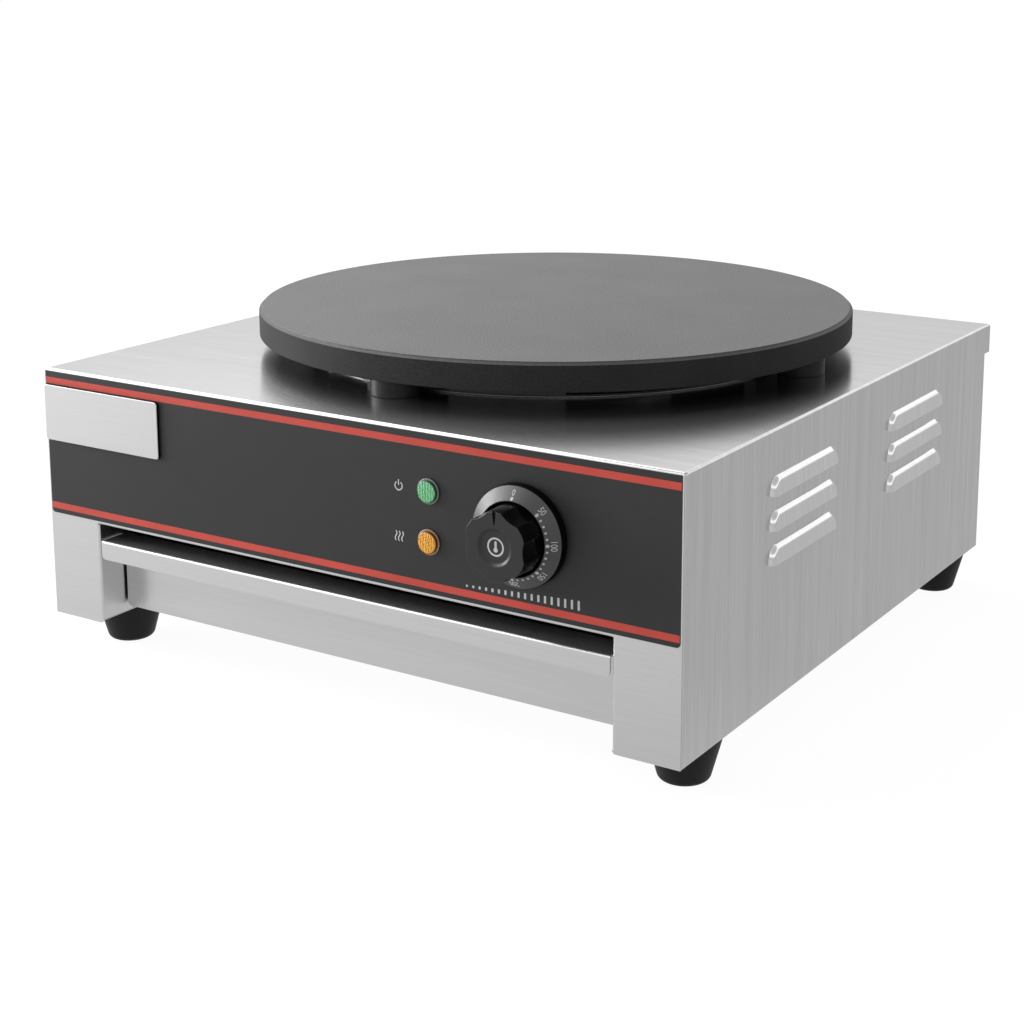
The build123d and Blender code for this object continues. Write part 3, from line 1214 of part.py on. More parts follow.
# ------------------------------------------------------------------ electrical parts
def make_gland():
    """Cable gland: thread, hexagon and tapered nose, with a clear bore."""
    nose_y = REAR_FACE_Y + GLAND_PROUD
    dome_y = REAR_FACE_Y + GLAND_FLANGE + GLAND_SHOULDER
    gland = turned_forward(
        [
            (GLAND_BORE_RADIUS, SIDE_REAR_Y - GLAND_INSIDE),
            (GLAND_THREAD_RADIUS, SIDE_REAR_Y - GLAND_INSIDE),
            (GLAND_THREAD_RADIUS, dome_y),
            (GLAND_NOSE_RADIUS, nose_y),
            (GLAND_BORE_RADIUS, nose_y),
        ],
        GLAND_X,
        GLAND_Z,
    )
    collar = hex_spindle(GLAND_FLANGE_SIZE, GLAND_X, GLAND_Z, REAR_FACE_Y, REAR_FACE_Y + GLAND_FLANGE)
    bore = spindle(GLAND_BORE_RADIUS, GLAND_X, GLAND_Z, SIDE_REAR_Y - 2 * GLAND_INSIDE, nose_y + CUT)
    return gland + collar - bore


def make_gland_nut():
    """Locknut inside the rear panel."""
    nut = hex_spindle(GLAND_NUT_SIZE, GLAND_X, GLAND_Z, SIDE_REAR_Y - GLAND_NUT_THICKNESS, SIDE_REAR_Y)
    bore = GLAND_THREAD_RADIUS + SCREW_CLEARANCE
    return nut - spindle(bore, GLAND_X, GLAND_Z, SIDE_REAR_Y - 2 * GLAND_INSIDE, SIDE_REAR_Y + CUT)


def pole_x(index):
    """X of one pole of the terminal block."""
    return BLOCK_X + (index - (BLOCK_POLES - 1) / 2) * BLOCK_LENGTH / BLOCK_POLES


def make_terminal_block():
    """Terminal block on the drawer bay, with a screw well over each pole."""
    y = FRONT_Y + BLOCK_BACK
    block_body = block(
        BLOCK_X - BLOCK_LENGTH / 2,
        BLOCK_X + BLOCK_LENGTH / 2,
        y - BLOCK_DEPTH / 2,
        y + BLOCK_DEPTH / 2,
        BAY_TOP_Z,
        BAY_TOP_Z + BLOCK_HEIGHT,
    )
    top = BAY_TOP_Z + BLOCK_HEIGHT
    for i in range(BLOCK_POLES):
        for side in (-1, 1):
            well_y = y + side * BLOCK_WELL_SPACING / 2
            block_body -= post(BLOCK_WELL_RADIUS, pole_x(i), well_y, top - BLOCK_WELL_DEPTH, top + CUT)
    return block_body


def make_earth_stud():
    """Earth stud through the drawer bay's ceiling."""
    y = FRONT_Y + EARTH_BACK
    head = hex_post(EARTH_NUT_SIZE, EARTH_X, y, BAY_CEILING_Z - EARTH_NUT_THICKNESS / 2, BAY_CEILING_Z)
    return head + post(EARTH_RADIUS, EARTH_X, y, BAY_CEILING_Z, BAY_TOP_Z + EARTH_HEIGHT)


def make_earth_nut():
    """Nut that clamps the earth lead."""
    y = FRONT_Y + EARTH_BACK
    nut = hex_post(EARTH_NUT_SIZE, EARTH_X, y, BAY_TOP_Z, BAY_TOP_Z + EARTH_NUT_THICKNESS)
    return nut - post(EARTH_RADIUS + SCREW_CLEARANCE, EARTH_X, y, BAY_TOP_Z - CUT, BAY_TOP_Z + 2 * CUT)


def make_live_lead():
    """Lead from the terminal block to the thermostat's feed tab."""
    x, z = thermostat_tabs()[0]
    side_x = pole_x(2)
    return lead(
        [
            (side_x, BLOCK_FRONT_Y, LEAD_Z),
            (side_x, THERMOSTAT_REAR_Y + 2 * LEAD_RUN, LEAD_Z),
            (x, THERMOSTAT_REAR_Y + LEAD_RUN, z),
            (x, THERMOSTAT_REAR_Y + TERMINAL_TAB_LENGTH, z),
        ]
    )


def make_switched_lead():
    """Lead from the thermostat's switched tab to the element's first pin."""
    x, z = thermostat_tabs()[1]
    pin = element_ends()[0]
    run_z = PIN_END_Z - 2 * LEAD_BEND
    return lead(
        [
            (x, THERMOSTAT_REAR_Y + TERMINAL_TAB_LENGTH, z),
            (x, THERMOSTAT_REAR_Y + LEAD_RUN, z),
            (pin.X, pin.Y - LEAD_RUN, run_z),
            (pin.X, pin.Y, run_z),
            (pin.X, pin.Y, PIN_END_Z),
        ]
    )


def make_neutral_lead():
    """Lead from the terminal block to the element's second pin."""
    pin = element_ends()[1]
    run_z = PIN_END_Z - 2 * LEAD_BEND
    x = pole_x(1)
    return lead(
        [
            (x, BLOCK_FRONT_Y, LEAD_Z),
            (x, BLOCK_FRONT_Y - LEAD_RUN, LEAD_Z),
            (pin.X, pin.Y + LEAD_RUN, run_z),
            (pin.X, pin.Y, run_z),
            (pin.X, pin.Y, PIN_END_Z),
        ]
    )


def make_earth_lead():
    """Lead from the terminal block to the earth stud's nut."""
    x = pole_x(0)
    nut_y = FRONT_Y + EARTH_BACK - EARTH_NUT_SIZE / 2
    z = BAY_TOP_Z + EARTH_NUT_THICKNESS / 2
    return lead(
        [
            (x, BLOCK_FRONT_Y, LEAD_Z),
            (x, BLOCK_FRONT_Y - 2 * LEAD_BEND, LEAD_Z),
            (x - 2 * LEAD_BEND, BLOCK_FRONT_Y - 3 * LEAD_BEND, z),
            (EARTH_X, BLOCK_FRONT_Y - 2 * LEAD_BEND, z),
            (EARTH_X, nut_y, z),
        ]
    )


def make_lamp_leads():
    """Two short leads that join the lamps' tabs, one at each side."""
    leads = []
    tab_y = COVER_FRONT_Y + LAMP_BODY_LENGTH + LAMP_TAB_LENGTH
    far_y = tab_y + LAMP_LEAD_REACH
    high, low = BASE_Z + POWER_LAMP_HEIGHT, BASE_Z + HEAT_LAMP_HEIGHT
    for x in lamp_tab_places():
        route = [(x, tab_y, high), (x, far_y, high), (x, far_y, low), (x, tab_y, low)]
        leads.append(lead(route, LAMP_LEAD_RADIUS))
    return leads


# ------------------------------------------------------------------ feet
def make_foot(x, y):
    """Tapered rubber foot with a screw recess from below."""
    foot = Pos(x, y, FOOT_HEIGHT / 2) * Cone(FOOT_BOTTOM_RADIUS, FOOT_TOP_RADIUS, FOOT_HEIGHT)
    foot = fillet(foot.edges().group_by(Axis.Z)[0], FOOT_EDGE)
    foot -= post(FOOT_RECESS_RADIUS, x, y, -CUT, FOOT_RECESS_DEPTH)
    return foot - post(FOOT_SCREW_RADIUS + SCREW_CLEARANCE, x, y, 0, FOOT_HEIGHT + CUT)


def make_foot_screws():
    """Screws up through the feet and the cover's base flanges."""
    top = BASE_Z + COVER_SHEET + FOOT_NUT_THICKNESS + ASSEMBLY_GAP
    screws = []
    for x, y in FOOT_PLACES.values():
        head = post(FOOT_SCREW_HEAD_RADIUS, x, y, FOOT_RECESS_DEPTH - FOOT_SCREW_HEAD, FOOT_RECESS_DEPTH)
        screws.append(head + post(FOOT_SCREW_RADIUS, x, y, FOOT_RECESS_DEPTH, top))
    return screws


def make_foot_nuts():
    """Nuts on the base flanges."""
    low = BASE_Z + COVER_SHEET
    top = low + FOOT_NUT_THICKNESS + CUT
    bore = FOOT_SCREW_RADIUS + SCREW_CLEARANCE
    return [
        hex_post(FOOT_NUT_SIZE, x, y, low, low + FOOT_NUT_THICKNESS) - post(bore, x, y, low - CUT, top)
        for x, y in FOOT_PLACES.values()
    ]


# ------------------------------------------------------------------ the nodes
def group(solids):
    """Separate solids kept together in one node."""
    return Compound(children=[solid for piece in solids for solid in piece.solids()])


nodes["cover_shell"] = make_cover()
nodes["front_panel"] = make_front_panel()
nodes["rear_panel"] = make_rear_panel()
nodes["rear_screws"] = group(make_rear_screws())
nodes["drawer_bay"] = make_drawer_bay()
nodes["runner_left"] = make_runner(-1)
nodes["runner_right"] = make_runner(1)

nodes["control_overlay"] = make_overlay()
nodes["badge_plate"] = make_badge_plate()
nodes["power_lamp_lens"] = make_lamp_lens(POWER_LAMP_HEIGHT)
nodes["power_lamp_body"] = make_lamp_body(POWER_LAMP_HEIGHT)
nodes["heat_lamp_lens"] = make_lamp_lens(HEAT_LAMP_HEIGHT)
nodes["heat_lamp_body"] = make_lamp_body(HEAT_LAMP_HEIGHT)
nodes["dial_ring"] = make_dial_ring()
nodes["control_screws"] = group(make_control_screws())
nodes["thermostat_body"] = make_thermostat()
nodes["thermostat_bulb"] = make_bulb()
nodes["thermostat_capillary"] = make_capillary()
nodes["bulb_clip"] = make_bulb_clip()

nodes["griddle_plate"] = make_griddle_plate()
nodes["leg_bolts"] = group(make_leg_bolts())
nodes["guard_ring"] = make_guard_ring()
nodes["heat_pan"] = make_heat_pan()
nodes["pan_screws"] = group(make_pan_screws())
nodes["pan_nuts"] = group(make_pan_nuts())
nodes["insulation_disc"] = make_insulation()
nodes["heat_reflector"] = make_reflector()
nodes["heating_element"] = make_element()
nodes["element_clamps"] = group([make_clamp(angle) for angle in CLAMP_ANGLES])
nodes["clamp_nuts"] = group(make_clamp_nuts())

nodes["cable_gland"] = make_gland()
nodes["gland_nut"] = make_gland_nut()
nodes["terminal_block"] = make_terminal_block()
nodes["earth_stud"] = make_earth_stud()
nodes["earth_nut"] = make_earth_nut()
nodes["live_lead"] = make_live_lead()
nodes["switched_lead"] = make_switched_lead()
nodes["neutral_lead"] = make_neutral_lead()
nodes["earth_lead"] = make_earth_lead()
nodes["lamp_leads"] = group(make_lamp_leads())

for place, (foot_x, foot_y) in FOOT_PLACES.items():
    nodes["foot_" + place] = make_foot(foot_x, foot_y)
nodes["foot_screws"] = group(make_foot_screws())
nodes["foot_nuts"] = group(make_foot_nuts())

nodes["control_knob"] = make_knob()
nodes["thermostat_shaft"] = make_shaft()
nodes["drawer_front"] = make_drawer_front()
nodes["drawer_tray"] = make_drawer_tray()

os.makedirs("parts", exist_ok=True)
for name, shape in nodes.items():
    export_step(shape, os.path.join("parts", name + ".step"))
print(len(nodes), "nodes")
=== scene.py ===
"""Electric crepe maker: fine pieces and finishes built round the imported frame.

Metres, +Z up, +X to the right seen from the front, +Y to the back, the floor at z = 0.
Every place is read from the frame's nodes, and every size of a new piece is a named field.
"""

from __future__ import annotations

import json
import logging
from collections.abc import Callable
from dataclasses import dataclass, field
from enum import Enum
from math import cos, pi, radians, sin

import bmesh
import bpy
import numpy as np
from mathutils import Matrix, Vector

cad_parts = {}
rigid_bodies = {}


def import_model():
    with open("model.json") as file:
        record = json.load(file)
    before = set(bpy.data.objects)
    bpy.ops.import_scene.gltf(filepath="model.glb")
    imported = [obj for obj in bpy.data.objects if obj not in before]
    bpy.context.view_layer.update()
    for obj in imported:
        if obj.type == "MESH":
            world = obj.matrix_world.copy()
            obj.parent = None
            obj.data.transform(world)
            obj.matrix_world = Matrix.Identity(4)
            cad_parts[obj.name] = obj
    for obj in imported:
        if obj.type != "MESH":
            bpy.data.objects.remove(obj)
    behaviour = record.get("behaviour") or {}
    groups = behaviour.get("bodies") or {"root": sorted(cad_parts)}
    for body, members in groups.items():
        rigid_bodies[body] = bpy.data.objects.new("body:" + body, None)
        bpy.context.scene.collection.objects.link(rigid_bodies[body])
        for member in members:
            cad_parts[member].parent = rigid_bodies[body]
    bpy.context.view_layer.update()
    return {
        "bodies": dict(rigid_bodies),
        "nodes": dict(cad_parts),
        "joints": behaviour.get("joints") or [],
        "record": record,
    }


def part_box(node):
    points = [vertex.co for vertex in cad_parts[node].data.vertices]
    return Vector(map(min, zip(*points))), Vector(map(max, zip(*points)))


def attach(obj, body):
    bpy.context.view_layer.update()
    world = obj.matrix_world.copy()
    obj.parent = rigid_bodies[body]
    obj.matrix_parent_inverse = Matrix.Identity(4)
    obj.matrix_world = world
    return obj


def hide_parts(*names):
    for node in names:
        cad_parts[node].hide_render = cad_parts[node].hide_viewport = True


log = logging.getLogger("crepe_maker")

MM = 0.001
TURN = 2 * pi
Array = np.ndarray
Colour = tuple[float, float, float]
Point = tuple[float, float, float]


class Body(Enum):
    """Bodies of the frame that pieces ride on."""

    CASING = "casing"
    KNOB = "knob"
    DRAWER = "drawer"


# ---------------------------------------------------------------------------- mesh kit
def grid_quads(rows: int, columns: int, wrap: bool = True) -> Array:
    """Quads between neighbouring rows and columns of a grid of points.

    Args:
        rows: number of rows.
        columns: points in each row.
        wrap: joins the last column to the first.

    Returns:
        One row of four point numbers for each quad.
    """
    spans = columns if wrap else columns - 1
    row, column = np.meshgrid(np.arange(rows - 1), np.arange(spans), indexing="ij")
    here = row * columns + column
    beside = row * columns + (column + 1) % columns
    return np.stack([here, beside, beside + columns, here + columns], axis=-1).reshape(-1, 4)


def weighted_normals(piece: bpy.types.Object) -> None:
    """Keep large flat faces flat beside small rounds."""
    modifier = piece.modifiers.new("flat_faces", "WEIGHTED_NORMAL")
    modifier.keep_sharp = True


def mesh_object(name: str, points: Array, faces: Array | list, sharp: float = 40.0) -> bpy.types.Object:
    """Smooth-shaded object at the origin, with doubles merged and faces turned outwards.

    Args:
        name: the piece's name.
        points: N by 3 places.
        faces: point numbers of each face.
        sharp: angle in degrees above which an edge stays sharp.

    Returns:
        The linked object.
    """
    mesh = bpy.data.meshes.new(name)
    face_list = faces.tolist() if isinstance(faces, np.ndarray) else faces
    mesh.from_pydata(np.asarray(points, float).reshape(-1, 3).tolist(), [], face_list)
    work = bmesh.new()
    work.from_mesh(mesh)
    bmesh.ops.remove_doubles(work, verts=work.verts, dist=0.002 * MM)
    bmesh.ops.dissolve_degenerate(work, edges=work.edges, dist=0.001 * MM)
    bmesh.ops.recalc_face_normals(work, faces=work.faces)
    work.to_mesh(mesh)
    work.free()
    mesh.shade_smooth()
    mesh.set_sharp_from_angle(angle=radians(sharp))
    piece = bpy.data.objects.new(name, mesh)
    bpy.context.scene.collection.objects.link(piece)
    return piece


def rounded_profile(points: list[tuple[float, float]], radii: list[float], steps: int = 6) -> Array:
    """Open profile whose inner corners are arcs.

    Each corner is cut back on both sides by radius / tan(half the angle between its sides),
    and the arc is swept between the two tangent points round the centre on the bisector.

    Args:
        points: the corners, as pairs.
        radii: a radius for each corner, 0 to keep it sharp.
        steps: spans of each arc.

    Returns:
        N by 2 points along the profile.
    """
    corners = [np.array(point, float) for point in points]
    out = [corners[0][None]]
    for before, corner, after, radius in zip(corners, corners[1:], corners[2:], radii[1:-1]):
        if radius <= 0:
            out.append(corner[None])
            continue
        back = (before - corner) / np.linalg.norm(before - corner)
        ahead = (after - corner) / np.linalg.norm(after - corner)
        half = np.arccos(np.clip(back @ ahead, -1, 1)) / 2
        centre = corner + (back + ahead) / np.linalg.norm(back + ahead) * (radius / np.sin(half))
        start = corner + back * (radius / np.tan(half)) - centre
        end = corner + ahead * (radius / np.tan(half)) - centre
        sweep = pi - 2 * half
        share = np.linspace(0, 1, steps + 1)[:, None]
        swept = np.sin((1 - share) * sweep) * start + np.sin(share * sweep) * end
        out.append(centre + swept / np.sin(sweep))
    out.append(corners[-1][None])
    return np.concatenate(out)


class Spin(Enum):
    """Axis that a profile turns about."""

    UPRIGHT = "z"
    FORWARD = "y"


def spun(name: str, profile: Array, centre: Point, axis: Spin, columns: int = 96) -> bpy.types.Object:
    """Solid of revolution.

    A profile point (r, h) at angle t goes to r cos t and r sin t across the axis and h along it.

    Args:
        name: the piece's name.
        profile: N by 2 pairs of radius and height along the axis.
        centre: a point of the axis; its own height along the axis isn't added.
        axis: upright, or forward along Y.
        columns: points round the axis.

    Returns:
        The object.
    """
    angle = np.linspace(0, TURN, columns, endpoint=False)
    radius, height = profile[:, :1], np.broadcast_to(profile[:, 1:], (len(profile), columns))
    across, over = centre[0] + radius * np.cos(angle), radius * np.sin(angle)
    if axis is Spin.UPRIGHT:
        points = np.stack([across, centre[1] + over, height], axis=-1)
    else:
        points = np.stack([across, height, centre[2] + over], axis=-1)
    return mesh_object(name, points, grid_quads(len(profile), columns))


def rounded_outline(width: float, height: float, corner: float, steps: int = 10) -> Array:
    """Closed outline of a rectangle with round corners, about its middle.

    Each corner's arc is corner times (cos, sin) of a quarter turn about the corner's centre.

    Args:
        width: overall size along the first axis.
        height: overall size along the second axis.
        corner: radius of the corners.
        steps: spans of each corner's arc.

    Returns:
        N by 2 points, anticlockwise.
    """
    quarter = np.linspace(0, pi / 2, steps + 1)
    start = np.repeat(np.arange(4) * pi / 2, steps + 1)
    angle = start + np.tile(quarter, 4)
    side_x = np.sign(np.cos(start + pi / 4)) * (width / 2 - corner)
    side_y = np.sign(np.sin(start + pi / 4)) * (height / 2 - corner)
    return np.stack([side_x + corner * np.cos(angle), side_y + corner * np.sin(angle)], axis=-1)


@dataclass
class Slab:
    """Flat piece on the front, with round corners and a rounded front edge.

    Fields:
        x0, x1, z0, z1: its sides.
        back_y, front_y: its back and front faces.
        corner: radius of its corners.
        edge: radius of the round along its front edge.
        least_corner: least radius of a corner on the edge's round.
    """

    x0: float
    x1: float
    z0: float
    z1: float
    back_y: float
    front_y: float
    corner: float
    edge: float = 0.0
    least_corner: float = 0.05 * MM

    def build(self, name: str, edge_steps: int = 4) -> bpy.types.Object:
        """Stack of outlines: back, edge of the side, inset outlines along the edge's arc, flat front.

        Args:
            name: the piece's name.
            edge_steps: spans of the edge's arc.

        Returns:
            The object.
        """
        width, height = self.x1 - self.x0, self.z1 - self.z0
        turn = np.linspace(0, pi / 2, edge_steps + 1) if self.edge > 0 else np.zeros(1)
        insets = np.concatenate([[0.0], self.edge * (1 - np.cos(turn))])
        depths = np.concatenate([[self.back_y], self.front_y + self.edge * (1 - np.sin(turn))])
        rings = []
        for inset, depth in zip(insets, depths):
            corner = max(self.corner - inset, self.least_corner)
            outline = rounded_outline(width - 2 * inset, height - 2 * inset, corner)
            x = (self.x0 + self.x1) / 2 + outline[:, 0]
            z = (self.z0 + self.z1) / 2 + outline[:, 1]
            rings.append(np.stack([x, np.full(len(x), depth), z], axis=-1))
        count = len(rings[0])
        faces = grid_quads(len(rings), count).tolist()
        faces.append(list(range(count)))
        faces.append(list(range((len(rings) - 1) * count, len(rings) * count)))
        piece = mesh_object(name, np.concatenate(rings), faces, sharp=60)
        weighted_normals(piece)
        return piece


def thicken_front(name: str, outlines: list[Array], front_y: Array | float, depth: float) -> bpy.types.Object:
    """Thin printed marks: closed outlines in X and Z, filled and given a small depth.

    Args:
        name: the piece's name.
        outlines: N by 2 outlines; each becomes one mark.
        front_y: place of the front faces.
        depth: thickness towards the back.

    Returns:
        One object with all the marks.
    """
    points, faces, first = [], [], 0
    for outline in outlines:
        count = len(outline)
        front = np.stack([outline[:, 0], np.full(count, front_y), outline[:, 1]], axis=-1)
        points += [front, front + np.array([0, depth, 0])]
        ring = np.arange(count)
        beside = (ring + 1) % count
        sides = np.stack([ring, beside, beside + count, ring + count], axis=-1) + first
        faces += [(ring + first).tolist(), (ring[::-1] + count + first).tolist(), *sides.tolist()]
        first += 2 * count
    return mesh_object(name, np.concatenate(points), faces)


def ring_band(inner: float, outer: float, start: float, end: float, steps: int = 48) -> Array:
    """Closed outline of part of a ring about the origin: out along one arc and back along the other.

    Args:
        inner, outer: radii of the two arcs.
        start, end: angles of its ends.
        steps: spans of each arc.

    Returns:
        N by 2 points.
    """
    angle = np.linspace(start, end, steps + 1)
    out = np.stack([outer * np.cos(angle), outer * np.sin(angle)], axis=-1)
    back = np.stack([inner * np.cos(angle[::-1]), inner * np.sin(angle[::-1])], axis=-1)
    return np.concatenate([out, back])


def disc_outline(x: float, z: float, radius: float, steps: int = 24) -> Array:
    """Outline of a disc: radius times (cos, sin) about its middle."""
    angle = np.linspace(0, TURN, steps, endpoint=False)
    return np.stack([x + radius * np.cos(angle), z + radius * np.sin(angle)], axis=-1)


def around(centre: Point, circle: float, angle: float) -> Point:
    """Point at an angle on a level circle."""
    return centre[0] + circle * cos(angle), centre[1] + circle * sin(angle), 0.0


def shifted(x: float, y: Array, z: float) -> Array:
    """Moves of as many points as there are numbers in y."""
    return np.stack([np.full(len(y), x), y, np.full(len(y), z)], axis=-1)


def reshape(piece: bpy.types.Object, change: Callable[[Array], Array]) -> None:
    """Move a piece's points.

    Args:
        piece: the piece.
        change: takes its N by 3 places and returns the new ones.
    """
    points = np.empty(len(piece.data.vertices) * 3)
    piece.data.vertices.foreach_get("co", points)
    piece.data.vertices.foreach_set("co", change(points.reshape(-1, 3)).ravel())
    piece.data.update()


def face_vectors(piece: bpy.types.Object, key: str) -> Array:
    """A vector of each face.

    Args:
        piece: the piece.
        key: "center" or "normal".

    Returns:
        N by 3 numbers.
    """
    values = np.empty(len(piece.data.polygons) * 3)
    piece.data.polygons.foreach_get(key, values)
    return values.reshape(-1, 3)


def set_zones(piece: bpy.types.Object, numbers: Array) -> None:
    """Give each face the number of its finish."""
    piece.data.polygons.foreach_set("material_index", numbers.astype(np.int32))


def joined(name: str, parts: list[tuple[Array, list]]) -> bpy.types.Object:
    """One object from several parts.

    Args:
        name: the piece's name.
        parts: points and faces of each part.

    Returns:
        The object.
    """
    points, faces, first = [], [], 0
    for part_points, part_faces in parts:
        points.append(part_points)
        faces += [[number + first for number in face] for face in part_faces]
        first += len(part_points)
    return mesh_object(name, np.concatenate(points), faces)


def figure_mesh(text: str, size: float, depth: float) -> tuple[Array, list]:
    """Mesh of a number, centred on the origin in the XZ plane and facing -Y.

    Args:
        text: the figures.
        size: their height.
        depth: their thickness.

    Returns:
        Its points and its faces.
    """
    curve = bpy.data.curves.new("figure", "FONT")
    curve.body = text
    curve.size = size
    curve.extrude = depth / 2
    curve.align_x = "CENTER"
    curve.align_y = "CENTER"
    holder = bpy.data.objects.new("figure", curve)
    mesh = bpy.data.meshes.new_from_object(holder)
    points = np.empty(len(mesh.vertices) * 3)
    mesh.vertices.foreach_get("co", points)
    points = points.reshape(-1, 3) @ np.array([[1, 0, 0], [0, 0, 1], [0, -1, 0]])
    faces = [list(polygon.vertices) for polygon in mesh.polygons]
    bpy.data.objects.remove(holder)
    bpy.data.curves.remove(curve)
    bpy.data.meshes.remove(mesh)
    return points, faces


# ---------------------------------------------------------------------------- finish kit
NOISE_SPAN = (0.3, 0.7)  # values between which most of a noise lies
STREAK_SPAN = (0.35, 0.65)  # the same for three noises mixed


class NodeTree:
    """A node tree, with short calls for the nodes that the finishes and the surroundings use."""

    def __init__(self, tree: bpy.types.NodeTree, output: str, place: str) -> None:
        """Empty the tree and add its output and its places.

        Args:
            tree: the tree.
            output: kind of its output node.
            place: the texture coordinate that its patterns read.
        """
        self.tree = tree
        tree.nodes.clear()
        self.surface = self.add(output).inputs["Surface"]
        self.place = self.add("ShaderNodeTexCoord").outputs[place]

    def add(self, kind: str, **settings: object) -> bpy.types.Node:
        """Add a node.

        Args:
            kind: the node's type.
            settings: its properties.

        Returns:
            The node.
        """
        node = self.tree.nodes.new(kind)
        for key, value in settings.items():
            setattr(node, key, value)
        return node

    def link(self, source: bpy.types.NodeSocket, target: bpy.types.NodeSocket) -> None:
        """Join two sockets."""
        self.tree.links.new(source, target)

    def spread(self, value: bpy.types.NodeSocket, low: float, high: float,
               start: float = 0.25, end: float = 0.75) -> bpy.types.NodeSocket:
        """Map a value evenly from one span to another, and hold it at the ends.

        Args:
            value: the value.
            low, high: the span that it is mapped to.
            start, end: the span that it comes from.

        Returns:
            The mapped value.
        """
        node = self.add("ShaderNodeMapRange")
        for key, number in (("From Min", start), ("From Max", end), ("To Min", low), ("To Max", high)):
            node.inputs[key].default_value = number
        self.link(value, node.inputs["Value"])
        return node.outputs["Result"]

    def math(self, operation: str, first: object, second: object) -> bpy.types.NodeSocket:
        """One arithmetic step.

        Args:
            operation: the step.
            first, second: its two sides, each a socket or a number.

        Returns:
            The result.
        """
        node = self.add("ShaderNodeMath", operation=operation)
        for index, value in enumerate((first, second)):
            if isinstance(value, bpy.types.NodeSocket):
                self.link(value, node.inputs[index])
            else:
                node.inputs[index].default_value = value
        return node.outputs["Value"]

    def weighed(self, values: tuple, weights: tuple[float, ...]) -> bpy.types.NodeSocket:
        """Sum of several values, each times its weight.

        Args:
            values: the values.
            weights: their weights.

        Returns:
            The sum.
        """
        shares = [self.math("MULTIPLY", value, weight) for value, weight in zip(values, weights)]
        total = shares[0]
        for share in shares[1:]:
            total = self.math("ADD", total, share)
        return total

    def along(self, way: Point) -> bpy.types.NodeSocket:
        """How far the place lies along a direction, times the direction's length.

        Args:
            way: the direction.

        Returns:
            The product of place and direction.
        """
        node = self.add("ShaderNodeVectorMath", operation="DOT_PRODUCT")
        node.inputs[1].default_value = way
        self.link(self.place, node.inputs[0])
        return node.outputs["Value"]

    def mixed(self, share: bpy.types.NodeSocket, first: bpy.types.NodeSocket,
              second: bpy.types.NodeSocket) -> bpy.types.NodeSocket:
        """Mix of two shaders.

        Args:
            share: share of the second.
            first, second: the shaders.

        Returns:
            The mixed shader.
        """
        node = self.add("ShaderNodeMixShader")
        for index, source in enumerate((share, first, second)):
            self.link(source, node.inputs[index])
        return node.outputs[0]


class NodeSheet(NodeTree):
    """The node tree of a finish, with a principled shader."""

    def __init__(self, name: str) -> None:
        """Start a material with a principled shader.

        Args:
            name: the material's name.
        """
        self.material = bpy.data.materials.new(name)
        self.material.use_nodes = True
        super().__init__(self.material.node_tree, "ShaderNodeOutputMaterial", "Object")
        self.shader = self.add("ShaderNodeBsdfPrincipled")
        self.link(self.shader.outputs["BSDF"], self.surface)

    def set(self, **values: object) -> None:
        """Set constant sockets of the shader; underscores in names stand for spaces."""
        for key, value in values.items():
            self.shader.inputs[key.replace("_", " ")].default_value = value

    def feed(self, key: str, source: bpy.types.NodeSocket) -> None:
        """Let a value that varies over the surface drive one of the shader's sockets."""
        self.link(source, self.shader.inputs[key])

    def noise(self, scale: Point, detail: float = 2.0, roughness: float = 0.5) -> bpy.types.NodeSocket:
        """Noise with its own number of cells per metre along each axis.

        Args:
            scale: cells per metre along X, Y and Z.
            detail: octaves.
            roughness: weight of the finer octaves.

        Returns:
            The noise value, from 0 to 1.
        """
        mapping = self.add("ShaderNodeMapping")
        mapping.inputs["Scale"].default_value = scale
        self.link(self.place, mapping.inputs["Vector"])
        noise = self.add("ShaderNodeTexNoise")
        for key, value in (("Scale", 1.0), ("Detail", detail), ("Roughness", roughness)):
            noise.inputs[key].default_value = value
        self.link(mapping.outputs["Vector"], noise.inputs["Vector"])
        return noise.outputs["Fac"]

    def wave(self, pace: Point) -> bpy.types.NodeSocket:
        """Even waves from 0 to 1, for the radians that a metre along each axis adds."""
        return self.spread(self.math("SINE", self.along(pace), 0.0), 0.0, 1.0, -1.0, 1.0)

    def tones(self, factor: bpy.types.NodeSocket, first: Colour, second: Colour) -> bpy.types.NodeSocket:
        """Colour between two tones.

        Args:
            factor: share of the second tone.
            first, second: the tones.

        Returns:
            The colour.
        """
        node = self.add("ShaderNodeMix", data_type="RGBA")
        node.inputs[6].default_value = (*first, 1)
        node.inputs[7].default_value = (*second, 1)
        self.link(factor, node.inputs[0])
        return node.outputs[2]

    def bump(self, height: bpy.types.NodeSocket, distance: float) -> None:
        """Bump the shader.

        Args:
            height: height of the relief, from 0 to 1.
            distance: what a height of 1 stands for.
        """
        node = self.add("ShaderNodeBump")
        node.inputs["Distance"].default_value = distance
        self.link(height, node.inputs["Height"])
        self.feed("Normal", node.outputs["Normal"])


def grey(tone: float) -> Colour:
    """Neutral linear colour."""
    return (tone, tone, tone)


def shade(colour: Colour, factor: float) -> Colour:
    """The colour made darker or lighter by a factor, up to white."""
    return tuple(min(1.0, channel * factor) for channel in colour)


class Grain(Enum):
    """Which way a sheet's brushing runs: the axes that its streaks cross, and the highlights' tangent.

    OVER_FOLDS runs along X on level faces and upright on the sides. ALONG_X runs along X. No face
    of a sheet stands square to its tangent, because its highlights would turn black there.
    """

    OVER_FOLDS = ((False, True, False), (0.0, 0.98, 0.2))
    ALONG_X = ((False, True, True), (0.0, 0.7, 0.7))


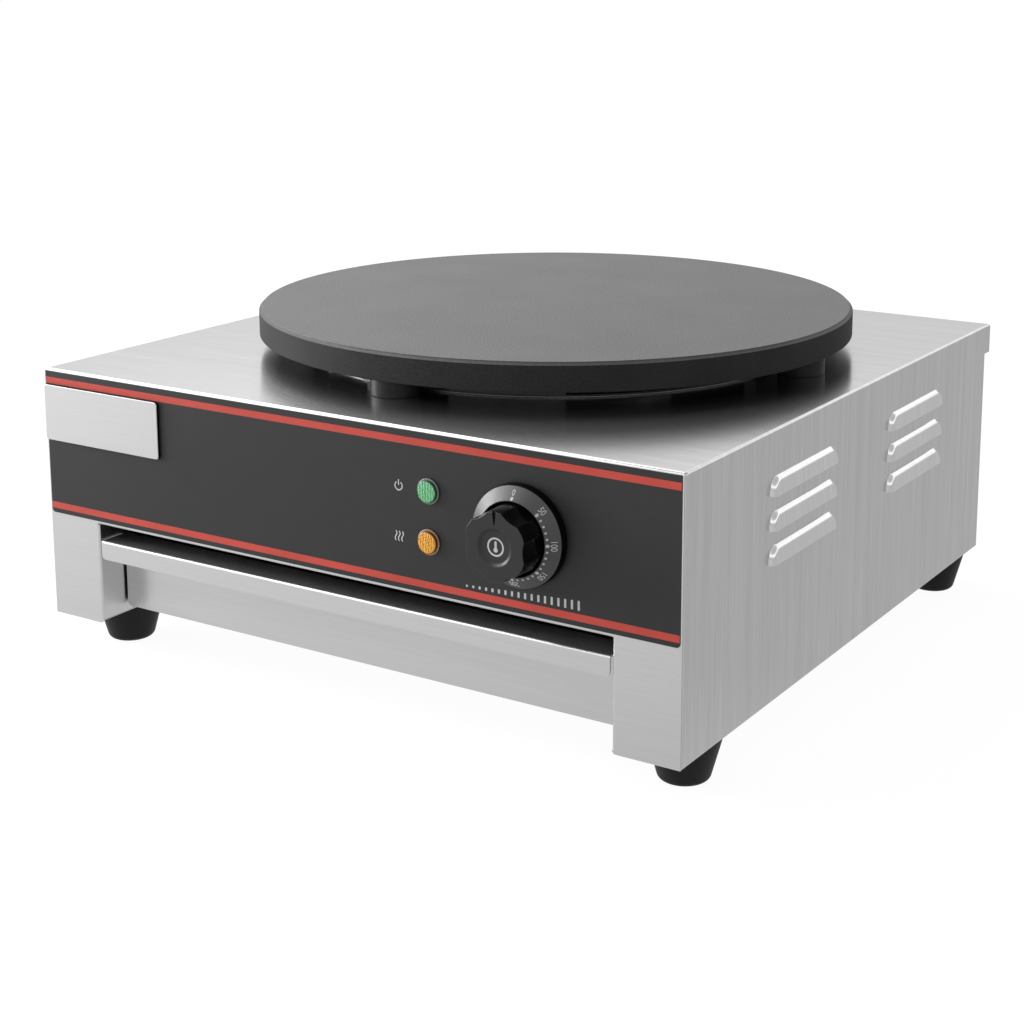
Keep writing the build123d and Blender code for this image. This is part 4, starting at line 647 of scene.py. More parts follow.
@dataclass(frozen=True)
class BrushedSteel:
    """Brushed stainless sheet: streaks in tone and gloss along the grain, and stretched highlights.

    Three noises are added: hairs that are finer than the eye resolves, strands, and broad bands.

    Fields:
        name: the material's name.
        grain: which way the brushing runs.
        tone: mean linear reflectance.
        contrast: share by which streaks leave the mean tone.
        roughness: mean roughness.
        anisotropy: how far highlights stretch across the grain.
        hair, strand, band: width and length of each kind of streak.
        weights: shares of the three in the tone.
        gloss: share by which strands change the roughness.
    """

    name: str
    grain: Grain
    tone: float = 0.62
    contrast: float = 0.05
    roughness: float = 0.3
    anisotropy: float = 0.7
    hair: tuple[float, float] = (0.6 * MM, 40 * MM)
    strand: tuple[float, float] = (1.6 * MM, 110 * MM)
    band: tuple[float, float] = (9 * MM, 300 * MM)
    weights: tuple[float, float, float] = (0.45, 0.35, 0.2)
    gloss: float = 0.02

    def streaks(self, sheet: NodeSheet, size: tuple[float, float], detail: float) -> bpy.types.NodeSocket:
        """Noise whose cells are as wide as the streaks across the grain and as long as them along it.

        Args:
            sheet: the finish's tree.
            size: width and length of the streaks.
            detail: octaves.

        Returns:
            The noise value.
        """
        crossed = self.grain.value[0]
        return sheet.noise(tuple(1 / size[0] if across else 1 / size[1] for across in crossed), detail)

    def build(self) -> bpy.types.Material:
        """Make the material: the streaks drive its tone, the strands its roughness too.

        Returns:
            The material.
        """
        sheet = NodeSheet(self.name)
        hair = self.streaks(sheet, self.hair, 2.0)
        strand = self.streaks(sheet, self.strand, 1.0)
        band = self.streaks(sheet, self.band, 1.0)
        streak = sheet.weighed((hair, strand, band), self.weights)
        low, high = (grey(self.tone * (1 + way * self.contrast)) for way in (-1, 1))
        sheet.feed("Base Color", sheet.tones(sheet.spread(streak, 0, 1, *STREAK_SPAN), low, high))
        ends = (self.roughness * (1 + self.gloss), self.roughness * (1 - self.gloss))
        sheet.feed("Roughness", sheet.spread(strand, *ends, *NOISE_SPAN))
        sheet.set(Metallic=1.0, Anisotropic=self.anisotropy)
        across = sheet.add("ShaderNodeCombineXYZ")
        for index, value in enumerate(self.grain.value[1]):
            across.inputs[index].default_value = value
        sheet.feed("Tangent", across.outputs["Vector"])
        return sheet.material


@dataclass(frozen=True)
class Speckled:
    """Finish of two mixed tones with a fine relief: castings, plastics, rubber, wool and plated parts.

    Fields:
        name: the material's name.
        colour: mean linear colour.
        contrast: share by which the speckle leaves the mean colour.
        cell: size of the speckle in metres.
        relief: height of the relief in metres.
        roughness: mean roughness, which the speckle varies by a tenth.
        metallic: 1 for metals.
        coat: weight of a clear gloss layer.
        drift: share by which slow patches leave the mean colour.
        specular: level of the reflection of light from straight ahead; 0.5 is a common plastic's.
        stretch: how many times longer the speckle is along X.
        patch: size of the slow patches, in speckles.
    """

    name: str
    colour: Colour
    contrast: float = 0.1
    cell: float = 0.6 * MM
    relief: float = 0.01 * MM
    roughness: float = 0.5
    metallic: float = 0.0
    coat: float = 0.0
    drift: float = 0.04
    specular: float = 0.5
    stretch: float = 1.0
    patch: float = 60.0

    def build(self) -> bpy.types.Material:
        """Make the material: speckle and patches add up to the tone, and the speckle is the relief.

        Returns:
            The material.
        """
        sheet = NodeSheet(self.name)
        pace = 1 / self.cell
        fine = sheet.noise((pace / self.stretch, pace, pace), detail=2.0, roughness=0.7)
        slow = sheet.noise((1 / (self.patch * self.cell),) * 3, detail=2.0)
        speck = sheet.spread(fine, -self.contrast, self.contrast, *NOISE_SPAN)
        patch = sheet.spread(slow, -self.drift, self.drift, *NOISE_SPAN)
        factor = sheet.math("ADD", 0.5, sheet.math("ADD", speck, patch))
        sheet.feed("Base Color", sheet.tones(factor, shade(self.colour, 0.0), shade(self.colour, 2.0)))
        sheet.feed("Roughness", sheet.spread(fine, self.roughness * 0.9, self.roughness * 1.1, *NOISE_SPAN))
        sheet.set(Metallic=self.metallic, Coat_Weight=self.coat, Coat_Roughness=0.08)
        sheet.set(Specular_IOR_Level=self.specular)
        sheet.bump(fine, self.relief)
        return sheet.material


@dataclass(frozen=True)
class LampPlastic:
    """Coloured plastic of a pilot lamp: painted highlight and painted shade of leaning prisms crossed by
    fainter ones, and a glow from inside.

    Fields:
        name: the material's name.
        light: linear colour where a prism sends light to the eye.
        dark: linear colour in the grooves, a painted shade.
        glow: strength of the glow.
        prism, cross: pitch along X and Z of the prisms, and of those that cross them.
        weights: shares of the prisms, the crossing ones and the grain in the tone.
        grain: cells of the grain per metre.
        relief: height of the grain.
    """

    name: str
    light: Colour
    dark: Colour
    glow: float = 0.12
    prism: tuple[float, float] = (1.35 * MM, 4.5 * MM)
    cross: tuple[float, float] = (-5.0 * MM, 1.7 * MM)
    weights: tuple[float, float, float] = (0.6, 0.12, 0.35)
    grain: float = 900.0
    relief: float = 0.02 * MM

    def build(self) -> bpy.types.Material:
        """Make the material: both waves of painted highlight and shade and the grain add up to the tone,
        which glows too.

        Returns:
            The material.
        """
        sheet = NodeSheet(self.name)
        cells = sheet.noise((self.grain,) * 3, detail=1.0)
        # The prisms' light and shade are painted into the tone as waves.
        waves = [sheet.wave((TURN / pitch[0], 0, TURN / pitch[1])) for pitch in (self.prism, self.cross)]
        factor = sheet.weighed((*waves, cells), self.weights)
        tone = sheet.tones(factor, self.dark, self.light)
        sheet.feed("Base Color", tone)
        sheet.feed("Emission Color", tone)
        sheet.set(Roughness=0.25, IOR=1.49, Emission_Strength=self.glow, Coat_Weight=0.1, Coat_Roughness=0.2)
        sheet.bump(cells, self.relief)
        return sheet.material


Finish = BrushedSteel | Speckled | LampPlastic


class Finishes:
    """All the finishes of the crepe maker, each made once."""

    DECK = BrushedSteel(
        "brushed_steel_cover", Grain.OVER_FOLDS, tone=0.63, contrast=0.07, roughness=0.195, anisotropy=0.6,
        hair=(1.6 * MM, 60 * MM), strand=(4 * MM, 160 * MM), band=(12 * MM, 400 * MM),
    )
    # The hoods' steel is the cover's steel made lighter: painted light on the pressed hoods.
    HOOD_LIT = BrushedSteel(
        "brushed_steel_hoods", Grain.OVER_FOLDS, tone=0.78, contrast=0.05, roughness=0.2, anisotropy=0.5,
        hair=(1.6 * MM, 60 * MM), strand=(4 * MM, 160 * MM), band=(12 * MM, 400 * MM),
    )
    FRONT = BrushedSteel(
        "brushed_steel_front", Grain.ALONG_X, tone=0.65, contrast=0.03, hair=(0.9 * MM, 45 * MM)
    )
    INNER = BrushedSteel(
        "plain_steel_inner", Grain.ALONG_X, tone=0.5, contrast=0.03, roughness=0.38, anisotropy=0.3
    )
    BADGE = BrushedSteel(
        "brushed_aluminium", Grain.ALONG_X, tone=0.6, contrast=0.02, roughness=0.42, anisotropy=0.5
    )
    # The badge's edge is painted near black: painted shade on the plate's side.
    BADGE_EDGE_SHADE = Speckled("dark_badge_edge", grey(0.004), 0.05, 0.4 * MM, 0.002 * MM, 0.5, specular=0.1)
    FILM = Speckled("charcoal_film", grey(0.01), 0.16, 0.5 * MM, 0.002 * MM, 0.5, stretch=30.0)
    STRIPE = Speckled("red_ink", (0.8, 0.046, 0.028), 0.04, 0.5 * MM, 0.002 * MM, 0.5)
    PRINT = Speckled("white_ink", grey(0.72), 0.04, 0.3 * MM, 0.002 * MM, 0.45)
    DIAL = Speckled("grained_dial_plastic", grey(0.02), 0.25, 0.3 * MM, 0.03 * MM, 0.46, specular=0.9)
    # Near-black copy of the dial's plastic for its outer wall: painted shade.
    DIAL_WALL_SHADE = Speckled("black_dial_wall", grey(0.002), 0.1, 0.3 * MM, 0.004 * MM, 0.5, specular=0.08)
    KNOB_FACE = Speckled("satin_knob_plastic", grey(0.01), 0.1, 0.3 * MM, 0.006 * MM, 0.42)
    # The knob's side is the face's plastic made glossier and darker; the darker tone is painted shade.
    KNOB_SIDE_SHADE = Speckled("gloss_knob_plastic", grey(0.003), 0.05, 0.3 * MM, 0.002 * MM, 0.16, specular=0.2)
    # Near-black finish for the pointer slot: painted shade in the recess.
    SLOT_SHADE = Speckled("black_paint", grey(0.003), 0.05, 0.3 * MM, 0.002 * MM, 0.6)
    IRON_TOP = Speckled(
        "coated_iron_top", grey(0.15), 0.3, 0.95 * MM, 0.012 * MM, 0.55, drift=0.025, specular=0.2
    )
    # Bevel and rim are the plate's iron made darker as their faces turn from the top: painted shade.
    IRON_BEVEL_SHADE = Speckled(
        "worn_iron_bevel", grey(0.075), 0.15, 0.6 * MM, 0.012 * MM, 0.5, specular=0.3, stretch=6.0
    )
    IRON_RIM_SHADE = Speckled(
        "turned_iron_rim", grey(0.027), 0.15, 0.6 * MM, 0.012 * MM, 0.6, specular=0.11, stretch=6.0
    )
    IRON_LEG = Speckled("cast_iron_leg", grey(0.024), 0.2, 0.9 * MM, 0.03 * MM, 0.5, specular=0.2)
    RUBBER = Speckled("black_rubber", grey(0.006), 0.15, 0.5 * MM, 0.01 * MM, 0.5, specular=0.25)
    # Each lens's second colour is its prisms' painted highlight and its third their painted shade.
    GREEN_LENS = LampPlastic("green_lamp_plastic", (0.22, 0.6, 0.3), (0.05, 0.24, 0.1))
    GREEN_RIM = Speckled("green_lamp_rim", (0.17, 0.21, 0.19), 0.1, 0.4 * MM, 0.004 * MM, 0.3)
    # Darker copy of the green lens plastic for the lamp's walls: painted shade.
    GREEN_WALL_SHADE = Speckled("green_lamp_wall", (0.02, 0.05, 0.03), 0.1, 0.4 * MM, 0.004 * MM, 0.3)
    AMBER_LENS = LampPlastic("amber_lamp_plastic", (0.95, 0.5, 0.05), (0.34, 0.11, 0.008))
    AMBER_RIM = Speckled("amber_lamp_rim", (0.36, 0.21, 0.12), 0.1, 0.4 * MM, 0.004 * MM, 0.3)
    # Darker copy of the amber lens plastic for the lamp's walls: painted shade.
    AMBER_WALL_SHADE = Speckled("amber_lamp_wall", (0.1, 0.035, 0.008), 0.1, 0.4 * MM, 0.004 * MM, 0.3)
    LAMP_HOLDER = Speckled("white_lamp_holder", grey(0.6), 0.06, 0.5 * MM, 0.004 * MM, 0.4)
    THERMOSTAT = Speckled("bakelite", (0.03, 0.016, 0.01), 0.2, 0.5 * MM, 0.006 * MM, 0.35)
    SHAFT = Speckled("turned_brass", (0.72, 0.5, 0.22), 0.06, 0.4 * MM, 0.003 * MM, 0.25, metallic=1.0)
    COPPER = Speckled("copper_tube", (0.75, 0.38, 0.25), 0.06, 0.5 * MM, 0.004 * MM, 0.3, metallic=1.0)
    ZINC = Speckled("zinc_plate", grey(0.55), 0.08, 0.4 * MM, 0.004 * MM, 0.3, metallic=1.0)
    GUARD = Speckled("heat_proof_enamel", grey(0.05), 0.1, 0.8 * MM, 0.01 * MM, 0.4)
    # Bright bare steel for the bead round the guard's foot: a painted highlight along it.
    GUARD_BEAD_LIT = Speckled("worn_steel_bead", grey(0.4), 0.1, 0.8 * MM, 0.01 * MM, 0.35, metallic=1.0)
    PAN = Speckled("aluminised_pan", grey(0.5), 0.1, 1.2 * MM, 0.01 * MM, 0.4, metallic=1.0)
    WOOL = Speckled("mineral_wool", (0.42, 0.38, 0.27), 0.25, 1.2 * MM, 0.4 * MM, 0.95)
    REFLECTOR = Speckled("bright_aluminium", grey(0.8), 0.04, 1.0 * MM, 0.01 * MM, 0.2, metallic=1.0)
    SHEATH = Speckled("element_sheath", (0.12, 0.11, 0.1), 0.2, 0.6 * MM, 0.01 * MM, 0.45, metallic=1.0)
    NYLON = Speckled("black_nylon", grey(0.014), 0.12, 0.4 * MM, 0.006 * MM, 0.38)
    TERMINAL = Speckled("white_nylon", grey(0.62), 0.05, 0.5 * MM, 0.004 * MM, 0.45)
    BROWN_WIRE = Speckled("brown_insulation", (0.12, 0.045, 0.02), 0.08, 0.5 * MM, 0.004 * MM, 0.4)
    BLUE_WIRE = Speckled("blue_insulation", (0.03, 0.12, 0.5), 0.08, 0.5 * MM, 0.004 * MM, 0.4)
    GREEN_WIRE = Speckled("green_insulation", (0.08, 0.4, 0.04), 0.08, 0.5 * MM, 0.004 * MM, 0.4)

    _made: dict[str, bpy.types.Material] = {}

    @classmethod
    def of(cls, finish: Finish) -> bpy.types.Material:
        """The finish's material, made at its first use.

        Args:
            finish: the finish.

        Returns:
            The material.
        """
        if finish.name not in cls._made:
            cls._made[finish.name] = finish.build()
        return cls._made[finish.name]


def paint(piece: bpy.types.Object, *finishes: Finish) -> None:
    """Give a new piece its finishes, one for each material number of its faces."""
    for finish in finishes:
        piece.data.materials.append(Finishes.of(finish))


# ---------------------------------------------------------------------------- sub-assemblies
@dataclass
class SubAssembly:
    """Part of the crepe maker that is built and dressed in one go.

    Fields:
        body: the body that its new pieces ride on.
        pieces: the new pieces made so far.
    """

    frame: dict
    body: Body = Body.CASING
    pieces: list[bpy.types.Object] = field(default_factory=list, init=False)

    def keep(self, piece: bpy.types.Object, slot: str | None = None, *nodes: str) -> bpy.types.Object:
        """Ride a new piece on its body and hide the nodes of the frame that it replaces.

        Args:
            piece: the finished object.
            slot: the record's material slot; not used.
            nodes: nodes of the frame that it replaces.

        Returns:
            The piece.
        """
        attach(piece, self.body.value)
        if nodes:
            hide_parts(*nodes)
        self.pieces.append(piece)
        return piece

    def dress(self, finish: Finish, *nodes: str) -> None:
        """Give nodes of the frame a finish.

        Args:
            finish: the finish.
            nodes: the nodes.
        """
        for name in nodes:
            node = self.frame["nodes"][name]
            if not node.material_slots:
                node.data.materials.append(None)
            for slot in node.material_slots:
                slot.material = Finishes.of(finish)

    def build(self) -> None:
        """Make the new pieces and dress the frame's nodes."""

    def report(self) -> None:
        """Log the pieces made."""
        for piece in self.pieces:
            log.info("%s: %s with %d points", type(self).__name__, piece.name, len(piece.data.vertices))


@dataclass
class Casing(SubAssembly):
    """Cover, panels, screws, drawer bay and runners: nodes of the frame in their finishes."""

    def build(self) -> None:
        """Dress the sheet parts."""
        self.dress(Finishes.DECK, "cover_shell")
        self.dress(Finishes.FRONT, "front_panel", "rear_panel")
        self.dress(Finishes.INNER, "drawer_bay", "runner_left", "runner_right")
        self.dress(Finishes.ZINC, "rear_screws", "foot_screws", "foot_nuts")
        self.dress(Finishes.ZINC, "leg_bolts", "pan_screws", "pan_nuts")


@dataclass
class LouvreHoods(SubAssembly):
    """Pressed hoods over the louvres of both sides, open below.

    Fields:
        side: where the outer face of the left and right side lies, from the middle.
        groups: how far the middle of each group lies behind the front panel's face.
        rows, pitch: louvres of a group, and the height from one to the next.
        lowest: height of the lowest mouth.
        length, height: size of a hood from end to end and from mouth to root.
        corner: radius of the outline's upper corners.
        root, mouth: how far the face stands out at the root and at the mouth.
        wall: width of the rounded wall between sheet and face.
        sheet: thickness of the hood.
        least: least thickness, where the hood runs out.
        sunk: how deep its edge lies in the side.
        fine: width at each end that has the fine columns.
    """

    side: float = 232.5 * MM
    groups: tuple[float, float] = (145.3 * MM, 318.0 * MM)
    rows: int = 3
    pitch: float = 20.3 * MM
    lowest: float = 111.2 * MM
    length: float = 89.6 * MM
    height: float = 10.9 * MM
    corner: float = 8.6 * MM
    root: float = 2.6 * MM
    mouth: float = 3.7 * MM
    wall: float = 3.4 * MM
    sheet: float = 0.7 * MM
    least: float = 0.3 * MM
    sunk: float = 0.1 * MM
    fine: float = 12.0 * MM

    def hood(self) -> tuple[Array, list]:
        """One hood as a shell, with its mouth's middle at the origin and its face towards +X.

        The distance to the outline is that of a rectangle with round upper corners, without its
        lower side. The face stands out by the proud height times the sine of a quarter turn over
        the wall's width, and the inner surface lies one sheet behind it.

        Returns:
            Its points and its quads.
        """
        half = self.length / 2
        end = np.linspace(0, self.fine, 40)
        middle = np.linspace(self.fine - half, half - self.fine, 14)[1:-1]
        along = np.concatenate([end - half, middle, (half - end)[::-1]])
        up = np.linspace(0, self.height, 36)
        y, z = np.meshgrid(along, up)
        past_end, past_top = np.abs(y) - (half - self.corner), z - (self.height - self.corner)
        outer = np.hypot(np.maximum(past_end, 0), np.maximum(past_top, 0))
        inside = self.corner - outer - np.minimum(np.maximum(past_end, past_top), 0)
        proud = self.mouth + (self.root - self.mouth) * z / self.height
        rise = np.sin(pi / 2 * np.clip(inside / self.wall, 0, 1))
        front = proud * rise - self.sunk
        back = np.minimum(np.maximum(front - self.sheet, -self.sheet), front - self.least)
        surface = [np.stack([out, y, z], axis=-1).reshape(-1, 3) for out in (front, back)]
        rows, columns = y.shape
        quads = grid_quads(rows, columns, wrap=False)
        count = rows * columns
        number = np.arange(count).reshape(rows, columns)
        loop = np.concatenate([number[0], number[1:, -1], number[-1, -2::-1], number[-2:0:-1, 0]])
        beside = np.roll(loop, -1)
        edge = np.stack([loop, beside, beside + count, loop + count], axis=-1)
        return np.concatenate(surface), np.concatenate([quads, quads[:, ::-1] + count, edge]).tolist()

    def build(self) -> None:
        """Set the hoods of each group in one piece on its side."""
        points, faces = self.hood()
        front_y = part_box("front_panel")[0].y
        for side, way in (("right", 1.0), ("left", -1.0)):
            for group, behind in zip(("front", "rear"), self.groups):
                parts = []
                for row in range(self.rows):
                    place = np.array([way * self.side, front_y + behind, self.lowest + row * self.pitch])
                    parts.append((points * np.array([way, 1.0, 1.0]) + place, faces))
                hoods = joined(f"louvre_hoods_{side}_{group}", parts)
                # The hoods get a lighter tone than the cover sheet they are pressed from: painted light.
                paint(hoods, Finishes.HOOD_LIT)
                self.keep(hoods, "cover_steel")


@dataclass
class Drawer(SubAssembly):
    """Drawer front with its pull lip, and the tray behind it."""

    body: Body = Body.DRAWER

    def build(self) -> None:
        """Dress the drawer."""
        self.dress(Finishes.FRONT, "drawer_front")
        self.dress(Finishes.INNER, "drawer_tray")


@dataclass
class GriddlePlate(SubAssembly):
    """Cast cooking plate with its stepped edge, hollow underside, four legs and clamp studs.

    Fields:
        bevel: width and drop of the bevel round the cooking face.
        step: drop of the small step inside the bevel.
        rim_wall: thickness of the rim.
        web: thickness of the plate over its hollow.
        leg_radius: radius of a leg at its foot.
        leg_circle: circle that the legs stand on.
        leg_count: number of legs.
        rim: thickness of the plate over its rim.
        sink: how far legs and studs reach into the plate.
        stud_radius: radius of the clamp studs.
        stud_circles: circles of the clamp studs.
        studs: clamp studs on each circle.
        stud_tail: how far a stud reaches past its nut.
    """

    bevel: float = 2.0 * MM
    step: float = 0.6 * MM
    rim_wall: float = 10.0 * MM
    web: float = 11.0 * MM
    leg_radius: float = 15.0 * MM
    leg_circle: float = 183.0 * MM
    leg_count: int = 4
    rim: float = 18.2 * MM
    sink: float = 1.0 * MM
    stud_radius: float = 3.0 * MM
    stud_circles: tuple[float, float] = (112.5 * MM, 77.5 * MM)
    studs: int = 3
    stud_tail: float = 2.0 * MM

    def build(self) -> None:
        """Turn the plate and stand it on its legs."""
        low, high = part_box("griddle_plate")
        radius = (high.x - low.x) / 2
        centre = ((low.x + high.x) / 2, (low.y + high.y) / 2, 0.0)
        leg_top = high.z - self.rim
        profile = rounded_profile(
            [
                (0, high.z),
                (radius - self.bevel, high.z),
                (radius - self.bevel + 0.1 * MM, high.z - self.step),
                (radius, high.z - self.bevel),
                (radius, leg_top),
                (radius - self.rim_wall, leg_top),
                (radius - self.rim_wall - 1 * MM, high.z - self.web),
                (0, high.z - self.web),
            ],
            [0, 0.15 * MM, 0.1 * MM, 0.5 * MM, 0.8 * MM, 0.5 * MM, 2 * MM, 0],
            steps=5,
        )
        plate = spun("griddle_plate_casting", profile, centre, Spin.UPRIGHT, 360)
        # Top, bevel and rim get tones that fall as the faces turn from the sky: the bevel's and the rim's are
        # painted shade.
        paint(plate, Finishes.IRON_RIM_SHADE, Finishes.IRON_TOP, Finishes.IRON_BEVEL_SHADE)
        depth = high.z - face_vectors(plate, "center")[:, 2]
        set_zones(plate, np.where(depth < self.step * 0.4, 1, np.where(depth < self.bevel, 2, 0)))
        weighted_normals(plate)
        self.keep(plate, "griddle_iron", "griddle_plate")
        web_z = high.z - self.web + self.sink
        for number in range(self.leg_count):
            place = around(centre, self.leg_circle, TURN / self.leg_count * number - pi / 2)
            self.stand(f"griddle_leg_{number + 1}", place, self.leg_radius, low.z, web_z)
        foot_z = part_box("clamp_nuts")[0].z - self.stud_tail
        for number in range(self.studs):
            for row, circle in zip("ab", self.stud_circles):
                place = around(centre, circle, TURN / self.studs * number + pi / 2)
                self.stand(f"clamp_stud_{number + 1}{row}", place, self.stud_radius, foot_z, web_z)

    def stand(self, name: str, place: Point, radius: float, low_z: float, high_z: float) -> None:
        """Cast post under the plate, with a small round at its foot and its head sunk in the plate.

        Args:
            name: the post's name.
            place: a point of its axis.
            radius: its radius.
            low_z, high_z: its foot and its head.
        """
        outline = rounded_profile(
            [(0, low_z), (radius, low_z), (radius, high_z), (0, high_z)],
            [0, 0.6 * MM, 0, 0],
        )
        post = spun(name, outline, place, Spin.UPRIGHT, 72)
        paint(post, Finishes.IRON_LEG)
        self.keep(post, "griddle_iron")


@dataclass
class UnderPlate(SubAssembly):
    """Guard ring with a bright bead round its foot as a painted highlight, heat pan and what lies in it.

    Fields:
        bead: radius of the bead's section.
    """

    bead: float = 0.55 * MM

    def build(self) -> None:
        """Turn the bead and dress the heat parts."""
        low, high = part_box("guard_ring")
        turn = np.linspace(0, TURN, 13)
        circle = (high.x - low.x) / 2 + self.bead / 2
        across, up = circle + self.bead * np.cos(turn), low.z + self.bead * (1 + np.sin(turn))
        centre = ((low.x + high.x) / 2, (low.y + high.y) / 2, 0.0)
        bead = spun("guard_bead", np.stack([across, up], axis=-1), centre, Spin.UPRIGHT, 240)
        # The bead's bright bare steel stands for the highlight along the guard's foot: painted highlight.
        paint(bead, Finishes.GUARD_BEAD_LIT)
        self.keep(bead, "guard_steel")
        self.dress(Finishes.GUARD, "guard_ring")
        self.dress(Finishes.PAN, "heat_pan")
        self.dress(Finishes.WOOL, "insulation_disc")
        self.dress(Finishes.REFLECTOR, "heat_reflector")
        self.dress(Finishes.SHEATH, "heating_element")
        self.dress(Finishes.ZINC, "element_clamps", "clamp_nuts", "bulb_clip")
        self.dress(Finishes.COPPER, "thermostat_bulb", "thermostat_capillary")


@dataclass
class Wiring(SubAssembly):
    """Terminal block, earth stud, leads and cable gland: nodes of the frame in their finishes."""

    def build(self) -> None:
        """Dress the electrical parts."""
        self.dress(Finishes.THERMOSTAT, "thermostat_body")
        self.dress(Finishes.LAMP_HOLDER, "power_lamp_body", "heat_lamp_body")
        self.dress(Finishes.TERMINAL, "terminal_block")
        self.dress(Finishes.NYLON, "cable_gland", "gland_nut")
        self.dress(Finishes.SHAFT, "earth_stud", "earth_nut")
        self.dress(Finishes.BROWN_WIRE, "live_lead", "switched_lead", "lamp_leads")
        self.dress(Finishes.BLUE_WIRE, "neutral_lead")
        self.dress(Finishes.GREEN_WIRE, "earth_lead")
        self.dress(Finishes.ZINC, "control_screws")


@dataclass
class ControlStrip(SubAssembly):
    """Charcoal film across the front, with its two red stripes and its printed marks.

    Fields:
        stripe: height of each stripe.
        top_margin, bottom_margin: film that shows outside each stripe.
        side_margin: film that shows at the ends of the stripes.
        ink: thickness of the print.
        aside: middle of a lamp's mark, to the left of the lamp.
        mark_line: width of the marks' lines.
        bars, bar_pitch, bar_width: the row of bars under the dial.
        bar_low, bar_high: height of the first and the last bar.
        bar_gap: film between the lower stripe and the bars.
        power_radius, power_gap: radius of the power mark's ring, and half of its gap in degrees.
        power_bar: middle and length of the bar in that gap, in radii.
        wave_height, wave_sway, wave_pitch: half the height, the sway and the spacing of the waves.
    """

    stripe: float = 4.2 * MM
    top_margin: float = 3.85 * MM
    bottom_margin: float = 2.9 * MM
    side_margin: float = 0.3 * MM
    ink: float = 0.03 * MM
    aside: float = 21.0 * MM
    mark_line: float = 0.75 * MM
    bars: int = 18
    bar_pitch: float = 4.3 * MM
    bar_width: float = 1.4 * MM
    bar_low: float = 1.2 * MM
    bar_high: float = 5.6 * MM
    bar_gap: float = 1.9 * MM
    power_radius: float = 2.9 * MM
    power_gap: float = 35.0
    power_bar: tuple[float, float] = (0.7, 1.2)
    wave_height: float = 3.0 * MM
    wave_sway: float = 0.6 * MM
    wave_pitch: float = 2.3 * MM

    def build(self) -> None:
        """Dress the film, and print the stripes and the marks."""
        self.dress(Finishes.FILM, "control_overlay")
        low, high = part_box("control_overlay")
        starts = {
            "upper_stripe": high.z - self.top_margin - self.stripe,
            "lower_stripe": low.z + self.bottom_margin,
        }
        for name, start in starts.items():
            left, right = low.x + self.side_margin, high.x - self.side_margin
            band = Slab(left, right, start, start + self.stripe, low.y, low.y - self.ink, 0.1 * MM)
            stripe = band.build(name)
            paint(stripe, Finishes.STRIPE)
            self.keep(stripe, "overlay_film")
        self.mark_power(low.y)
        self.mark_heat(low.y)
        self.mark_knob(low)

    def print_marks(self, name: str, outlines: list[Array], face_y: float) -> None:
        """Print outlines in white on the film.

        Args:
            name: the print's name.
            outlines: N by 2 outlines.
            face_y: the film's face.
        """
        marks = thicken_front(name, outlines, face_y - self.ink, self.ink)
        paint(marks, Finishes.PRINT)
        self.keep(marks, "overlay_film")

    def beside(self, lamp: str) -> Array:
        """Middle of the mark beside a lamp, in X and Z."""
        low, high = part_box(lamp)
        return np.array([(low.x + high.x) / 2 - self.aside, (low.z + high.z) / 2])

    def mark_power(self, face_y: float) -> None:
        """A broken ring with a bar in its gap, beside the power lamp.

        Args:
            face_y: the film's face.
        """
        centre = self.beside("power_lamp_lens")
        gap, radius = radians(self.power_gap), self.power_radius
        ring = centre + ring_band(radius - self.mark_line, radius, pi / 2 + gap, pi / 2 - gap + TURN)
        middle, length = self.power_bar
        bar = rounded_outline(self.mark_line, length * radius, 0.4 * self.mark_line, 4)
        bar = centre + np.array([0, middle * radius]) + bar
        self.print_marks("power_mark", [ring, bar], face_y)

    def mark_heat(self, face_y: float) -> None:
        """Three upright waves beside the heat lamp: each line sways as a sine of its height.

        Args:
            face_y: the film's face.
        """
        centre = self.beside("heat_lamp_lens")
        rise = np.linspace(-self.wave_height, self.wave_height, 25)
        sway = self.wave_sway * np.sin(rise / self.wave_height * pi)
        waves = []
        for offset in (-self.wave_pitch, 0.0, self.wave_pitch):
            right = np.stack([offset + sway + self.mark_line / 2, rise], axis=-1)
            left = np.stack([offset + sway - self.mark_line / 2, rise], axis=-1)
            waves.append(centre + np.concatenate([right, left[::-1]]))
        self.print_marks("heat_mark", waves, face_y)

    def mark_knob(self, corner: Vector) -> None:
        """A row of bars that grow to the right under the knob: less heat to more heat.

        Args:
            corner: the film's lowest corner.
        """
        low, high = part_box("dial_ring")
        middle = (low.x + high.x) / 2
        base = corner.z + self.bottom_margin + self.stripe + self.bar_gap
        bars = []
        for number in range(self.bars):
            height = self.bar_low + (self.bar_high - self.bar_low) * number / (self.bars - 1)
            x = middle + (number - (self.bars - 1) / 2) * self.bar_pitch
            bar = rounded_outline(self.bar_width, height, 0.4 * MM, 3)
            bars.append(np.array([x, base + height / 2]) + bar)
        self.print_marks("heat_scale", bars, corner.y)


@dataclass
class BadgePlate(SubAssembly):
    """Bare aluminium plate at the left end of the strip, with its edge painted near black as painted shade.

    Fields:
        corner: radius of its corners.
        edge: radius of the round along its front edge.
    """

    corner: float = 2.0 * MM
    edge: float = 0.5 * MM

    def build(self) -> None:
        """Make the plate."""
        low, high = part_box("badge_plate")
        slab = Slab(low.x, high.x, low.z, high.z, high.y, low.y, self.corner, self.edge)
        plate = slab.build("badge_plate_blank")
        paint(plate, Finishes.BADGE, Finishes.BADGE_EDGE_SHADE)
        # Faces that don't face forward get the near-black edge finish: painted shade.
        set_zones(plate, np.abs(face_vectors(plate, "normal")[:, 1]) < 0.3)
        self.keep(plate, "badge_aluminium", "badge_plate")


